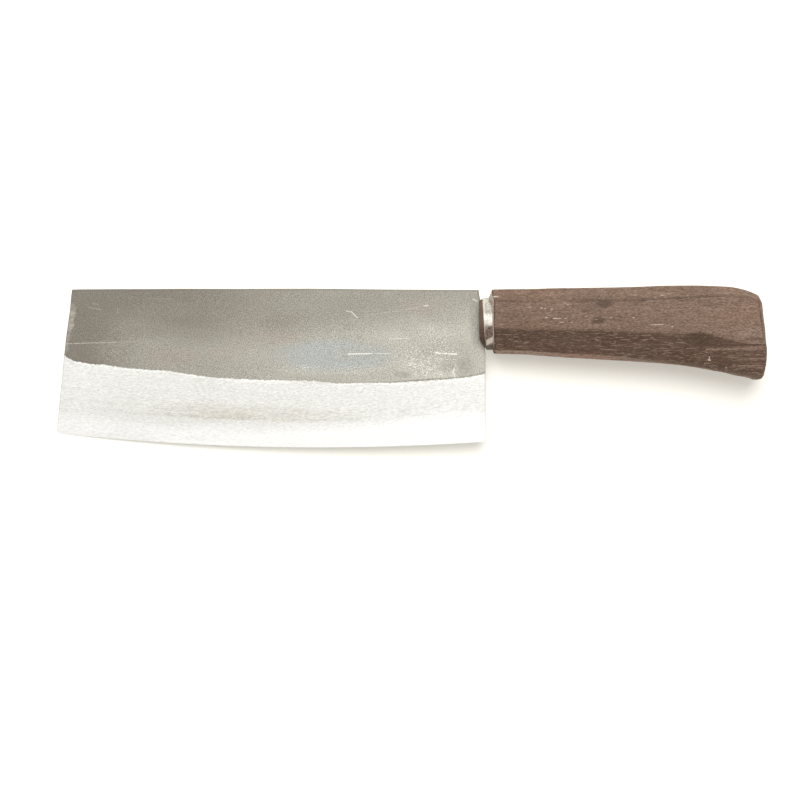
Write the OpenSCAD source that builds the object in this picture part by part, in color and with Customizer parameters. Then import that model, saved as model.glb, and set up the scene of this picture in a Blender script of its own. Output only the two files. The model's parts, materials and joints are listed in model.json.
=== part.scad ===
// Small rectangular kitchen cleaver with a forged, stick-tang blade and a one-piece wooden handle.
// Knife frame: X runs from the front edge to the butt, Y up to the spine, Z across the thickness.
// The origin of the knife frame is on the ferrule's axis, level with the heel edge of the blade.
// The finished model lies on its side on the surface z = 0, resting on the blade's front edge
// and on the front of the handle, with its origin at the bottom centre of its box.

/* [Blade] */
// Length of the blade at the cutting edge, from the heel edge to the lower front corner
blade_len = 201.4; // [185:0.2:215]
// Thickness of the forged plate between its two cheeks
blade_t = 2.4; // [2:0.1:3]
// Height of the front end of the spine above the ferrule's axis
spine_rise = 16.4; // [14:0.1:19]
// Depth of the heel corner below the ferrule's axis
heel_drop = 54.8; // [48:0.2:60]
// Depth of the lower front corner below the ferrule's axis
tip_drop = 50.9; // [46:0.1:58]
// How far the lower front corner stands ahead of the front end of the spine
front_lean = 7.8; // [2:0.1:10]
// Radius of the curved cutting edge, seen from the side
edge_r = 1140; // [900:10:1500]
// Width of the ground bevel above the cutting edge
bevel_w = 32; // [24:1:38]
// Thickness left at the cutting edge
edge_t = 0.3; // [0.2:0.05:0.5]
// Depth of the notch that the blade's heel edge leaves for the ferrule
notch = 2.6; // [2.2:0.1:3.6]

/* [Tang] */
// Length of the stick tang behind the blade's shoulder
tang_len = 82; // [60:1:90]
// Height of the tang at its root
tang_w = 9; // [7:0.1:9.4]
// Height of the tang just before its point
tang_tip_w = 4.4; // [3:0.1:6]
// Thickness of the tang, a little less than the blade's
tang_t = 1.9; // [1.5:0.1:1.9]
// Diameter of the hole in the handle that the tang is set into
bore_d = 10.2; // [10:0.1:11]

/* [Ferrule] */
// Outside diameter of the ferrule
ferrule_d = 24.4; // [23.4:0.1:24.6]
// Wall thickness of the ferrule
ferrule_wall = 0.8; // [0.6:0.1:1.2]
// Where the ferrule's front edge lies, ahead of the knife frame's origin
ferrule_front = 0.8; // [0.6:0.1:1.2]
// Length of the ferrule along its axis
ferrule_len = 5.8; // [5:0.1:8]

/* [Handle] */
// Length of the wooden handle behind its front face
handle_len = 127.4; // [115:0.1:140]
// Greatest thickness of the handle
handle_t = 26; // [25.8:0.1:29]
// How much the belly of the handle drops towards the butt, as a share of the usual drop
handle_drop = 1; // [0.8:0.05:1.15]
// Half-width of the flat along the handle's back, as a share of its half-thickness
back_flat = 0.66; // [0.5:0.02:0.72]
// Half-width of the belly, as a share of the handle's half-thickness
belly_flat = 0.63; // [0.63:0.01:0.72]

/* [Hidden] */

// ---- blade geometry -------------------------------------------------------
tip = [-blade_len, -tip_drop];
heel = [0, -heel_drop];
front_top = [-blade_len + front_lean, spine_rise];
// Centre of the arc of the cutting edge through the two lower corners
chord = heel - tip;
half = norm(chord) / 2;
edge_c = (heel + tip) / 2 + sqrt(edge_r * edge_r - half * half) * [-chord[1], chord[0]] / norm(chord);
grind_r = edge_r - bevel_w;
grind_slope = (blade_t / 2 - edge_t / 2) / bevel_w;
// Half-thickness of the blade at a point of its side view
function half_t(p) =
    let (r = norm([p[0], p[1]] - edge_c))
    r <= grind_r ? blade_t / 2 : edge_t / 2 + (edge_r - r) * grind_slope;
// Point of the straight front edge at height y
function front_at(y) = front_top + (tip - front_top) * (spine_rise - y) / (spine_rise + tip_drop);

// Side view of the forging, open below: the curved edge is cut by the ground disc
spine_mid = [-blade_len * 0.45, spine_rise + 0.15];
spine_low = [-blade_len * 0.17, spine_rise - 0.45];
spine_end = [-notch - 0.2, spine_rise - 0.6];
outline = [
    front_top,
    spine_mid,
    spine_low,
    spine_end,
    [-notch, ferrule_d / 2 + 0.2],
    [-notch, -7],
    [-notch * 0.9, -9.2],
    [-notch * 0.7, -11.2],
    [-notch * 0.45, -12.6],
    [-notch * 0.2, -13.4],
    [0, -14.6],
    [0, -heel_drop + 1.2],
    [-3.2, -heel_drop - 1.2],
    [-3.2, -heel_drop - 20],
    [-blade_len + 3.4, -heel_drop - 20],
    [-blade_len + 3.4, -tip_drop - 1.4],
    front_at(-tip_drop + 1.4)
];

// ---- handle geometry ------------------------------------------------------
// Stations along the handle: distance, back, edge of the side flat, belly, half-thickness,
// all in millimetres at the usual size
stations = [
    [2.2, 14.0, -1.8, -13.1, 12.6],
    [4.0, 15.7, -1.8, -13.8, 13.0],
    [10, 15.8, -1.9, -14.0, 12.9],
    [25, 16.1, -2.1, -14.7, 12.8],
    [40, 16.4, -2.4, -15.8, 12.7],
    [55, 16.7, -2.8, -16.7, 12.6],
    [70, 16.95, -3.4, -17.5, 12.6],
    [82, 17.4, -4.0, -18.4, 12.6],
    [94, 17.5, -4.4, -19.9, 12.7],
    [104, 17.2, -5.4, -21.5, 12.8],
    [112, 16.9, -7.4, -23.2, 12.8],
    [118, 15.9, -8.6, -24.2, 12.7],
    [122, 14.6, -9.0, -25.3, 12.5],
    [125, 12.7, -9.2, -26.0, 12.2],
    [126.9, 10.4, -9.4, -25.8, 11.7],
    [128.4, 4.0, -9.6, -24.1, 10.8],
    [129.2, -3.0, -10.6, -20.5, 9.6],
    [129.6, -8.5, -12.2, -16.5, 8.0]
];
x0 = stations[0][0];
function sx(x) = x0 + (x - x0) * handle_len / 127.4;
function drop(x, y) = y * (1 + (handle_drop - 1) * min(1, max(0, (x - 10) / 90)));

// Half of one section, from the flat of the back round the +Z side to the flat of the belly
function half_section(s) =
    let (
        x = sx(s[0]), t = s[1], b = drop(s[0], s[2]), l = drop(s[0], s[3]),
        h = s[4] * handle_t / 26,
        e = min(1, (t - l) / 20)
    )
    [
        [x, t, back_flat * h],
        [x, t - 0.9 * e, (back_flat + 0.09) * h],
        [x, t - 4.4 * e, 0.97 * h],
        [x, t - 5.6 * e, h],
        [x, b + 1.2 * e, h],
        [x, b - 1.0 * e, 0.955 * h],
        [x, l + 1.4 * e, belly_flat * h],
        [x, l + 0.4 * e, (belly_flat - 0.13) * h],
        [x, l, (belly_flat - 0.33) * h]
    ];
function flip(p) = [p[0], p[1], -p[2]];
// One closed section: the +Z half, then the -Z half in reverse
function section(s) = let (a = half_section(s), m = len(a)) concat(a, [for (i = [m - 1:-1:0]) flip(a[i])]);
rings = [for (s = stations) section(s)];
ring_n = len(rings[0]);
handle_pts = [for (r = rings) each r];

// Solid through a list of sections that all have the same number of points
module loft(r) {
    n = len(r[0]);
    m = len(r);
    polyhedron(
        points = [for (s = r) each s],
        faces = concat(
            [[for (j = [0:n - 1]) j]],
            [for (i = [0:m - 2]) for (j = [0:n - 1]) each [
                [i * n + j, (i + 1) * n + j, (i + 1) * n + (j + 1) % n],
                [i * n + j, (i + 1) * n + (j + 1) % n, i * n + (j + 1) % n]
            ]],
            [[for (j = [n - 1:-1:0]) (m - 1) * n + j]]
        ),
        convexity = 4
    );
}

// ---- how it lies ----------------------------------------------------------
// It rests on two points of the blade's front edge and on the lowest point of the handle's side
rest_a = let (
        ys = [for (i = [0:200]) spine_rise - i * (spine_rise + tip_drop) / 200],
        inner = [for (y = ys) if (norm(front_at(y) - edge_c) <= grind_r) y]
    ) [front_at(min(inner))[0], min(inner), -blade_t / 2];
rest_b = let (p = front_at(-tip_drop + 1.4)) [p[0], p[1], -half_t(p)];
function unit(v) = v / norm(v);
function floor_normal(c) = let (n = unit(cross(rest_b - rest_a, c - rest_a))) n[2] < 0 ? -n : n;
under = [for (p = handle_pts) if (p[2] < -5) p];
clear = [for (c = under) let (n = floor_normal(c)) min([for (p = under) (p - rest_a) * n])];
rest_n = floor_normal(under[search(max(clear), clear)[0]]);
roll = atan2(rest_n[1], rest_n[2]);
pitch = atan2(-rest_n[0], norm([rest_n[1], rest_n[2]]));
function laid(p) =
    let (
        y = p[1] * cos(roll) - p[2] * sin(roll),
        z = p[1] * sin(roll) + p[2] * cos(roll)
    )
    [p[0] * cos(pitch) + z * sin(pitch), y, -p[0] * sin(pitch) + z * cos(pitch)];
rim = [for (i = [0:40]) let (x = -blade_len + 3.4 + i * (blade_len - 6.6) / 40)
    [x, edge_c[1] - sqrt(pow(edge_r, 2) - pow(x - edge_c[0], 2))]];
blade_pts = concat(
    [for (p = [front_top, spine_mid, spine_low, spine_end, front_at(-tip_drop + 1.4), [0, -heel_drop + 1.2]])
        for (k = [-1, 1]) [p[0], p[1], k * half_t(p)]],
    [for (p = rim) for (k = [-1, 1]) [p[0], p[1], k * edge_t / 2]]
);
all_laid = [for (p = concat(blade_pts, handle_pts)) laid(p)];
lo = [for (k = [0:2]) min([for (p = all_laid) p[k]])];
hi = [for (k = [0:2]) max([for (p = all_laid) p[k]])];

// Lays a piece that was drawn in the knife frame on the surface
module lay() {
    translate([-(lo[0] + hi[0]) / 2, -(lo[1] + hi[1]) / 2, -lo[2]])
        rotate([roll, pitch, 0])
            children();
}

// ---- pieces ---------------------------------------------------------------
// Flat plate of the blade before grinding
module plate(t, pts) {
    translate([0, 0, -t / 2]) linear_extrude(height = t) polygon(pts);
}

// Disc with a thin rim, whose two cones are the bevels on both sides of the blade
module ground_disc() {
    translate([edge_c[0], edge_c[1], 0])
        rotate_extrude($fn = 720)
            polygon([
                [0, -blade_t / 2], [grind_r, -blade_t / 2], [edge_r, -edge_t / 2],
                [edge_r, edge_t / 2], [grind_r, blade_t / 2], [0, blade_t / 2]
            ]);
}

// Stick tang, drawn out of the same forging
module tang() {
    plate(tang_t, [
        [-notch - 5, tang_w / 2], [-notch, tang_w / 2], [tang_len - notch - 6, tang_tip_w / 2],
        [tang_len - notch, 0.6], [tang_len - notch, -0.6], [tang_len - notch - 6, -tang_tip_w / 2],
        [-notch, -tang_w / 2], [-notch - 5, -tang_w / 2]
    ]);
}

// Cylinder along X
module rod(d, from, to) {
    translate([from, 0, 0]) rotate([0, 90, 0]) cylinder(h = to - from, d = d, $fn = 96);
}

// Turned tenon of the handle, with a coned end that bears on the blade's shoulder
module tenon() {
    d = ferrule_d - 2 * ferrule_wall;
    rod(d, -ferrule_front, ferrule_len - ferrule_front + 2);
    translate([-notch, 0, 0]) rotate([0, 90, 0])
        cylinder(h = notch - ferrule_front, d1 = 13.6, d2 = d, $fn = 96);
}

module forging() {
    intersection() {
        plate(blade_t, outline);
        ground_disc();
    }
    tang();
}

module blade() {
    color([0.62, 0.60, 0.55]) lay() forging();
}

module tang_resin() {
    color([0.20, 0.13, 0.09]) lay() difference() {
        rod(bore_d, -notch, tang_len - notch + 2);
        tang();
    }
}

module ferrule() {
    color([0.80, 0.79, 0.76]) lay() difference() {
        rod(ferrule_d, -ferrule_front, ferrule_len - ferrule_front);
        rod(ferrule_d - 2 * ferrule_wall, -ferrule_front - 1, ferrule_len - ferrule_front + 1);
    }
}

module handle() {
    color([0.45, 0.36, 0.30]) lay() difference() {
        union() {
            difference() {
                loft(rings);
                rod(ferrule_d, 0, ferrule_len - ferrule_front);
            }
            tenon();
        }
        rod(bore_d, -notch - 1, tang_len - notch + 2);
    }
}

blade();
tang_resin();
ferrule();
handle();
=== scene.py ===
import json
import math

import bpy
import numpy as np
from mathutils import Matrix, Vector


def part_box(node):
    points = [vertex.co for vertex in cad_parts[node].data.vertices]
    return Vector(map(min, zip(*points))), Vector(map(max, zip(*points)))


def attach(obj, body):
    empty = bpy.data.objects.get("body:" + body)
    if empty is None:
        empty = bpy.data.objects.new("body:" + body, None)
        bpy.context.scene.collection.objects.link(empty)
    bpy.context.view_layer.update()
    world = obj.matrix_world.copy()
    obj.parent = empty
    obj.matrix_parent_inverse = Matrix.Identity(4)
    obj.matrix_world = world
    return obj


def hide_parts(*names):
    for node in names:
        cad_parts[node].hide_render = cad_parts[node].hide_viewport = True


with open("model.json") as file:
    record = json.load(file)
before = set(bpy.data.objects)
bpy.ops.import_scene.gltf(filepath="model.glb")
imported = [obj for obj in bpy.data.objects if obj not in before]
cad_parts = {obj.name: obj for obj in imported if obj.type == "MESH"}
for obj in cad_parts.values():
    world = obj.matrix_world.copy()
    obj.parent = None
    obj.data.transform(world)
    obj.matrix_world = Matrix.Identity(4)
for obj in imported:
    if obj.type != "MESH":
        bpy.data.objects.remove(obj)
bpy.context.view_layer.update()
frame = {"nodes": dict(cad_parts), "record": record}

# ---------------------------------------------------------------------------
# The knife's own frame, in millimetres: X from the blade's front edge to the butt, Y up to the
# spine, Z across the thickness, origin on the ferrule's axis level with the heel edge.
# It lies tilted on the floor, so one turn and one shift take it to the shared frame.
# ---------------------------------------------------------------------------
up = frame["record"]["mounts"][0]["axis"]
ROLL = math.asin(-up[1])
PITCH = math.atan2(up[0], up[2])
RX = np.array([[1, 0, 0], [0, math.cos(ROLL), -math.sin(ROLL)], [0, math.sin(ROLL), math.cos(ROLL)]])
RY = np.array([[math.cos(PITCH), 0, math.sin(PITCH)], [0, 1, 0], [-math.sin(PITCH), 0, math.cos(PITCH)]])
TURN = RY @ RX
lo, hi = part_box("ferrule")
SHIFT = np.array([(a + b) * 500 for a, b in zip(lo, hi)]) - TURN @ np.array([2.1, 0.0, 0.0])


def to_world(p):
    """Knife-frame millimetres to shared-frame metres."""
    return (np.asarray(p, float) @ TURN.T + SHIFT) / 1000.0


# ---------------------------------------------------------------------------
# Small numeric helpers
# ---------------------------------------------------------------------------
def smooth(a, b, x):
    t = np.clip((np.asarray(x, float) - a) / (b - a), 0, 1)
    return t * t * (3 - 2 * t)


def curve(pairs):
    """A smooth line through given points, monotone between them."""
    xs = np.array([p[0] for p in pairs], float)
    ys = np.array([p[1] for p in pairs], float)
    h = np.diff(xs)
    d = np.diff(ys) / h
    m = np.zeros(len(xs))
    m[0], m[-1] = d[0], d[-1]
    for i in range(1, len(xs) - 1):
        if d[i - 1] * d[i] > 0:
            w1, w2 = 2 * h[i] + h[i - 1], h[i] + 2 * h[i - 1]
            m[i] = (w1 + w2) / (w1 / d[i - 1] + w2 / d[i])

    def at(x):
        x = np.asarray(x, float)
        q = np.clip(x, xs[0], xs[-1])
        i = np.clip(np.searchsorted(xs, q) - 1, 0, len(xs) - 2)
        t = (q - xs[i]) / h[i]
        return (
            (2 * t**3 - 3 * t**2 + 1) * ys[i]
            + (t**3 - 2 * t**2 + t) * h[i] * m[i]
            + (-2 * t**3 + 3 * t**2) * ys[i + 1]
            + (t**3 - t**2) * h[i] * m[i + 1]
        )

    return at


def waves(seed, count, low, high):
    """A smooth random field of two coordinates, about -1 to 1, from seeded sine waves."""
    rng = np.random.default_rng(seed)
    ks = []
    for _ in range(count):
        f = rng.uniform(low, high)
        a = rng.uniform(0, 2 * math.pi)
        ks.append((f * math.cos(a), f * math.sin(a), rng.uniform(0, 2 * math.pi)))

    def at(x, y):
        s = 0
        for kx, ky, ph in ks:
            s = s + np.sin(2 * math.pi * (kx * x + ky * y) + ph)
        return s / math.sqrt(count)

    return at


def build(name, verts, quads, attrs=None, uv=None, sharp=None):
    """A mesh object from knife-frame points. quads may hold triangles too, with -1 as the fourth index."""
    verts = np.asarray(verts, float)
    faces = [tuple(int(i) for i in q if i >= 0) for q in quads]
    me = bpy.data.meshes.new(name)
    me.from_pydata(to_world(verts).tolist(), [], faces)
    at = me.attributes.new("kf", "FLOAT_VECTOR", "POINT")
    at.data.foreach_set("vector", verts.astype(np.float32).ravel())
    for key, val in (attrs or {}).items():
        a = me.attributes.new(key, "FLOAT", "POINT")
        a.data.foreach_set("value", np.asarray(val, np.float32).ravel())
    if uv is not None:
        layer = me.uv_layers.new(name="OFBake")
        flat = np.zeros(len(me.loops) * 2, np.float32)
        k = 0
        for q, corners in zip(faces, uv):
            for c in range(len(q)):
                flat[k], flat[k + 1] = corners[c]
                k += 2
        layer.data.foreach_set("uv", flat)
    me.validate(verbose=False)
    me.update()
    me.shade_smooth()
    if sharp:
        me.set_sharp_from_angle(angle=math.radians(sharp))
    ob = bpy.data.objects.new(name, me)
    bpy.context.scene.collection.objects.link(ob)
    return ob


# ---------------------------------------------------------------------------
# Blade: side view
# ---------------------------------------------------------------------------
ARC_X, ARC_Y, ARC_R = -78.715, 1082.48, 1140.0
FRONT_TOP, FRONT_LOW = (-193.6, 16.4), (-201.4, -50.9)
HALF_T, HALF_EDGE = 1.2, 0.15

grind_line = curve([
    (-202, -12.0), (-198.5, -13.9), (-197, -14.8), (-195, -16.0), (-192.3, -17.2), (-185.3, -18.3),
    (-169.5, -20.2), (-150.9, -21.6), (-138.4, -23.3), (-125.1, -25.0), (-115, -25.6), (-86.4, -26.5),
    (-63, -27.6), (-39.7, -27.2), (-24.3, -26.3), (-9.9, -25.3), (-0.6, -23.3), (2, -22.6),
])
heel_y = np.array([-60, -16.8, -12.5, -11.2, -10.3, -9.6, -9.2, -8.5, -7.5, -6.4, 12.25, 12.45, 13.2, 15.8])
heel_x = np.array([0, 0, -0.08, -0.25, -0.55, -0.95, -1.3, -1.8, -2.2, -2.5, -2.5, -2.62, -2.75, -3.1])
spine_wave = waves(11, 5, 1 / 70.0, 1 / 18.0)
front_wave = waves(12, 5, 1 / 40.0, 1 / 9.0)
spine_line = curve([(-205, 16.3), (-193.6, 16.37), (-140, 16.54), (-90, 16.54), (-60, 16.22), (-40, 15.98), (-25, 15.86),
                    (-12, 15.84), (-3.1, 15.78), (2, 15.75)])
front_wear = curve([(-60, 0.0), (-26, 0.0), (-14, -0.16), (-5, -0.15), (1, -0.02), (7, 0.13), (17, 0.18)])


def front_x(y):
    s = np.clip((FRONT_TOP[1] - y) / (FRONT_TOP[1] - FRONT_LOW[1]), 0, 1)
    x = FRONT_TOP[0] + (FRONT_LOW[0] - FRONT_TOP[0]) * s
    return x + front_wear(y) + 0.05 * front_wave(y, y * 0)


def back_x(y):
    return np.interp(y, heel_y, heel_x)


def spine_y(x):
    return spine_line(x) + 0.045 * spine_wave(x, x * 0)


def edge_y(x):
    y = ARC_Y - np.sqrt(ARC_R**2 - (x - ARC_X) ** 2)
    for at, r, sign in ((FRONT_LOW[0] + 0.02, 1.9, 1), (0.0, 1.15, -1)):
        d = np.clip(sign * (x - at), 0, r)
        y = y + r - np.sqrt(np.maximum(r * r - (r - d) ** 2, 0))
    return y


def spread(total, fine_a, fine_b, step):
    """Distances from 0 to total: fine at both ends, even in the middle."""
    a = np.array(fine_a)
    b = total - np.array(fine_b)[::-1]
    n = max(2, int(round((b[0] - a[-1]) / step)))
    return np.concatenate([a, np.linspace(a[-1], b[0], n + 1)[1:-1], b])


cols = spread(200.0, [0, 0.05, 0.12, 0.2, 0.3, 0.42, 0.6, 0.85, 1.2, 1.7],
              [0, 0.05, 0.12, 0.2, 0.3, 0.42, 0.6, 0.85, 1.2, 1.7], 0.62) / 200.0
rows = spread(73.0, [0, 0.05, 0.12, 0.2, 0.3, 0.42, 0.6, 0.9, 1.3],
              [0, 0.05, 0.12, 0.22, 0.36, 0.6, 0.9, 1.3], 0.5) / 73.0
U, V = np.meshgrid(cols, rows, indexing="ij")
X = -201.4 + 201.4 * U
Y = 16 - 73 * V
for _ in range(12):
    Y = spine_y(X) * (1 - V) + edge_y(X) * V
    X = front_x(Y) * (1 - U) + back_x(Y) * U

g = grind_line(X)
low_line = edge_y(np.clip(X, -199.4, -1.4))
s = np.clip((g - Y) / (g - low_line), 0, 1)
half = HALF_T - (HALF_T - HALF_EDGE) * (0.88 * s + 0.12 * s * s)
# distance to the outline, for the worn round of the sheared edges
d_spine = spine_y(X) - Y
d_front = (X - front_x(Y)) * 0.996
d_back = back_x(Y) - X
d_cut = Y - edge_y(X)
ROUND = 0.34
for d, r in ((d_spine, 0.36), (d_front, 0.3), (d_back, 0.24)):
    q = np.clip(d, 0, r)
    drop = r - np.sqrt(np.maximum(r * r - (r - q) ** 2, 0))
    half = half - drop * np.clip(half / HALF_T, 0.12, 1)
half = np.maximum(half, 0.04)
# the hammered and rolled skin isn't quite flat, and the grind is not quite even
forge_a, forge_b = waves(21, 9, 1 / 90.0, 1 / 25.0), waves(22, 9, 1 / 90.0, 1 / 25.0)
grind_a, grind_b = waves(23, 7, 1 / 60.0, 1 / 16.0), waves(24, 7, 1 / 60.0, 1 / 16.0)
inside = smooth(0.0, 3.0, np.minimum(np.minimum(d_spine, d_front), np.minimum(d_back, d_cut)))
cheek = smooth(-1.5, 1.5, Y - g)
top_z = half + inside * (cheek * 0.022 * forge_a(X, Y) + (1 - cheek) * 0.010 * grind_a(X * 0.35, Y))
low_z = -half + inside * (cheek * 0.022 * forge_b(X, Y) + (1 - cheek) * 0.010 * grind_b(X * 0.35, Y))

nu, nv = U.shape
slope = np.gradient(grind_line(np.linspace(-202, 2, 400)), 204 / 399.0)
gslope = np.interp(X, np.linspace(-202, 2, 400), slope)
gd = (Y - g) / np.sqrt(1 + gslope**2)
rim_d = np.minimum(np.minimum(d_spine, d_front), d_back)

verts, attr_gd, attr_rim, attr_cut, attr_side = [], [], [], [], []
verts.append(np.stack([X, Y, top_z], -1).reshape(-1, 3))
verts.append(np.stack([X, Y, low_z], -1).reshape(-1, 3))
for sgn in (1, -1):
    attr_gd.append(gd.ravel())
    attr_rim.append(rim_d.ravel())
    attr_cut.append(d_cut.ravel())
    attr_side.append(np.full(nu * nv, sgn, float))
top_id = np.arange(nu * nv).reshape(nu, nv)
low_id = top_id + nu * nv
PX = 1 / 206.0


def uv_top(i, j):
    return ((X[i, j] + 202) * PX, (Y[i, j] + 59) * PX)


def uv_low(i, j):
    return ((X[i, j] + 202) * PX, (Y[i, j] + 59 + 79) * PX)


quads, uvs = [], []
for i in range(nu - 1):
    for j in range(nv - 1):
        quads.append((top_id[i, j], top_id[i, j + 1], top_id[i + 1, j + 1], top_id[i + 1, j]))
        uvs.append([uv_top(i, j), uv_top(i, j + 1), uv_top(i + 1, j + 1), uv_top(i + 1, j)])
        quads.append((low_id[i, j], low_id[i + 1, j], low_id[i + 1, j + 1], low_id[i, j + 1]))
        uvs.append([uv_low(i, j), uv_low(i + 1, j), uv_low(i + 1, j + 1), uv_low(i, j + 1)])

# the rim: the cut sides of the plate, with a slightly uneven sheared face
loop = [(i, 0) for i in range(nu)] + [(nu - 1, j) for j in range(1, nv)]
loop += [(i, nv - 1) for i in range(nu - 2, -1, -1)] + [(0, j) for j in range(nv - 2, 0, -1)]
RIM = 3
count = 2 * nu * nv
rim_rows = [[top_id[p] for p in loop]]
shear = waves(31, 8, 1 / 12.0, 1 / 2.5)
length = 0.0
along = [0.0]
for a, b in zip(loop, loop[1:] + loop[:1]):
    length += math.hypot(X[a] - X[b], Y[a] - Y[b])
    along.append(length)
for k in range(1, RIM):
    f = k / RIM
    row = []
    pts = []
    for n, p in enumerate(loop):
        z = top_z[p] * (1 - f) + low_z[p] * f
        thick = (top_z[p] - low_z[p]) / 2.4
        bulge = 0.05 * thick * math.sin(math.pi * f) + 0.02 * thick * shear(along[n], f * 3.0)
        a, b = loop[n - 1], loop[(n + 1) % len(loop)]
        tx, ty = X[b] - X[a], Y[b] - Y[a]
        tl = math.hypot(tx, ty) or 1
        nx, ny = -ty / tl, tx / tl
        pts.append((X[p] + nx * bulge, Y[p] + ny * bulge, z))
        row.append(count + n)
    count += len(loop)
    rim_rows.append(row)
    verts.append(np.array(pts))
    attr_gd.append([gd[p] for p in loop])
    attr_rim.append(np.zeros(len(loop)))
    attr_cut.append([d_cut[p] for p in loop])
    attr_side.append(np.zeros(len(loop)))
rim_rows.append([low_id[p] for p in loop])
m = len(loop)


def uv_rim(n, k):
    """Distance round the rim at point n; the rim goes round in four strips above the two side views, laid out below.
    """
    d = along[n] if n < m else along[m]
    return d


corner = [0, nu - 1, nu - 1 + nv - 1, 2 * (nu - 1) + nv - 1]
for n in range(m):
    side = 0 if n < corner[1] else 1 if n < corner[2] else 2 if n < corner[3] else 3
    start = along[corner[side]]
    base_v = (160 + 5.5 * side) * PX
    for k in range(RIM):
        a, b = rim_rows[k][n], rim_rows[k][(n + 1) % m]
        c, d = rim_rows[k + 1][(n + 1) % m], rim_rows[k + 1][n]
        quads.append((a, b, c, d))
        x0, x1 = (along[n] - start + 2) * PX, (along[n + 1] - start + 2) * PX
        v0, v1 = base_v + (RIM - k) * 0.9 * PX, base_v + (RIM - k - 1) * 0.9 * PX
        uvs.append([(x0, v0), (x1, v0), (x1, v1), (x0, v1)])

# the stick tang, drawn out of the same forging, inside the handle
tang_x = np.concatenate([[-7.0, -4.5], np.linspace(-2.6, 73.4, 24), [75.5, 77.2, 78.6, 79.3]])
tang_h = np.interp(tang_x, [-7, -2.6, 73.4, 79.4], [4.5, 4.5, 2.2, 0.6])
tang_t = np.interp(tang_x, [-7, -2.6, 73.4, 79.4], [0.94, 0.95, 0.95, 0.8])
ring = []
for n in range(16):
    a = 2 * math.pi * n / 16
    ca, sa = math.cos(a), math.sin(a)
    ring.append((math.copysign(abs(ca) ** 0.35, ca), math.copysign(abs(sa) ** 0.5, sa)))
first = count
pts = []
for x, h, t in zip(tang_x, tang_h, tang_t):
    for cy, cz in ring:
        pts.append((x, cy * h, cz * t))
verts.append(np.array(pts))
count += len(pts)
for lst, v in ((attr_gd, 20.0), (attr_rim, 0.3), (attr_cut, 20.0), (attr_side, 0.0)):
    lst.append(np.full(len(pts), v))
nr = len(ring)
for a in range(len(tang_x) - 1):
    for n in range(nr):
        b = (n + 1) % nr
        quads.append((first + a * nr + n, first + a * nr + b, first + (a + 1) * nr + b, first + (a + 1) * nr + n))
        v0, v1 = (184 + n * 1.2) * PX, (185.2 + n * 1.2) * PX
        x0, x1 = (tang_x[a] + 10) * PX, (tang_x[a + 1] + 10) * PX
        uvs.append([(x0, v0), (x0, v1), (x1, v1), (x1, v0)])
for a, turned in ((0, True), (len(tang_x) - 1, False)):
    ids = [first + a * nr + n for n in range(nr)]
    centre = count
    verts.append(np.array([[tang_x[a], 0, 0]]))
    count += 1
    for lst, v in ((attr_gd, 20.0), (attr_rim, 0.3), (attr_cut, 20.0), (attr_side, 0.0)):
        lst.append(np.full(1, v))
    for n in range(nr):
        b = (n + 1) % nr
        q = (centre, ids[b], ids[n], -1) if turned else (centre, ids[n], ids[b], -1)
        quads.append(q)
        uvs.append([(0.95, 0.95), (0.96, 0.95), (0.96, 0.96)])

blade = build(
    "blade_forging", np.vstack(verts), quads,
    {"gd": np.concatenate(attr_gd), "rim": np.concatenate(attr_rim),
     "cut": np.concatenate(attr_cut), "face": np.concatenate(attr_side)},
    uvs, sharp=50,
)

# ---------------------------------------------------------------------------
# Handle: sections along X
# ---------------------------------------------------------------------------
back = curve([(1.5, 15.55), (3, 15.75), (20, 16.0), (46.8, 16.5), (60, 16.68), (70, 16.85), (76, 17.1), (82, 17.38), (95.4, 17.4),
              (107.8, 17.05), (113.4, 16.8), (116.5, 16.3), (119, 15.7), (122.1, 14.6), (125, 13.1), (126.8, 11.7), (129, 9.6)])
bevel = curve([(1.5, 5.2), (20, 5.4), (46, 5.8), (69, 5.9), (96, 5.1), (104, 4.3), (117, 3.5), (123, 3.0), (129, 2.6)])
turn_y = curve([(1.5, -1.7), (5.2, -1.7), (30.5, -2.2), (63.1, -3.1), (84, -4.0), (98, -4.15), (104, -4.8), (111.6, -6.7),
                (120.8, -8.6), (129, -10.2)])
belly = curve([(1.5, -13.6), (4, -13.75), (10, -13.95), (17.6, -14.15), (25, -14.7), (37, -15.55), (56.6, -16.7), (71.2, -17.6),
               (85.7, -18.75), (95.7, -20.0), (103.2, -21.25), (110.8, -22.8), (114.6, -23.55), (118.4, -24.25), (122, -25.1),
               (124.8, -25.8), (127.5, -25.6), (129, -24.4)])
strip = curve([(1.5, 1.9), (12, 2.0), (35, 2.2), (62, 2.4), (70, 1.8), (100, 2.2), (129, 2.6)])
thick = curve([(1.5, 12.95), (25, 12.8), (55, 12.55), (80, 12.5), (104, 12.75), (118, 12.6), (125, 12.1), (129, 11.4)])
butt_x = curve([(-27, 128.0), (-25.3, 128.5), (-22.5, 128.8), (-19.8, 129.25), (-17, 129.5), (-14.3, 129.55), (-11.5, 129.4),
                (-8.8, 129.05), (-6, 128.8), (-3.3, 128.65), (-0.5, 128.3), (2.2, 127.9), (5, 127.65), (7.7, 127.4),
                (10.5, 127.0), (12.5, 126.4), (17, 125.2)])
X_END = 129.0


def lean(x, y):
    """How far a point of the section at x is moved so that the sections run into the slanted butt."""
    return smooth(88, X_END, x) * (butt_x(y) - X_END)

# per corner: samples on its round, its radius; and samples on the flat that follows it
CORNERS = [(5, 1.7, 8), (5, 1.3, 16), (6, 2.6, 15), (5, 1.4, 4), (5, 1.8, 12)]
BACK_FLAT = 18


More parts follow.
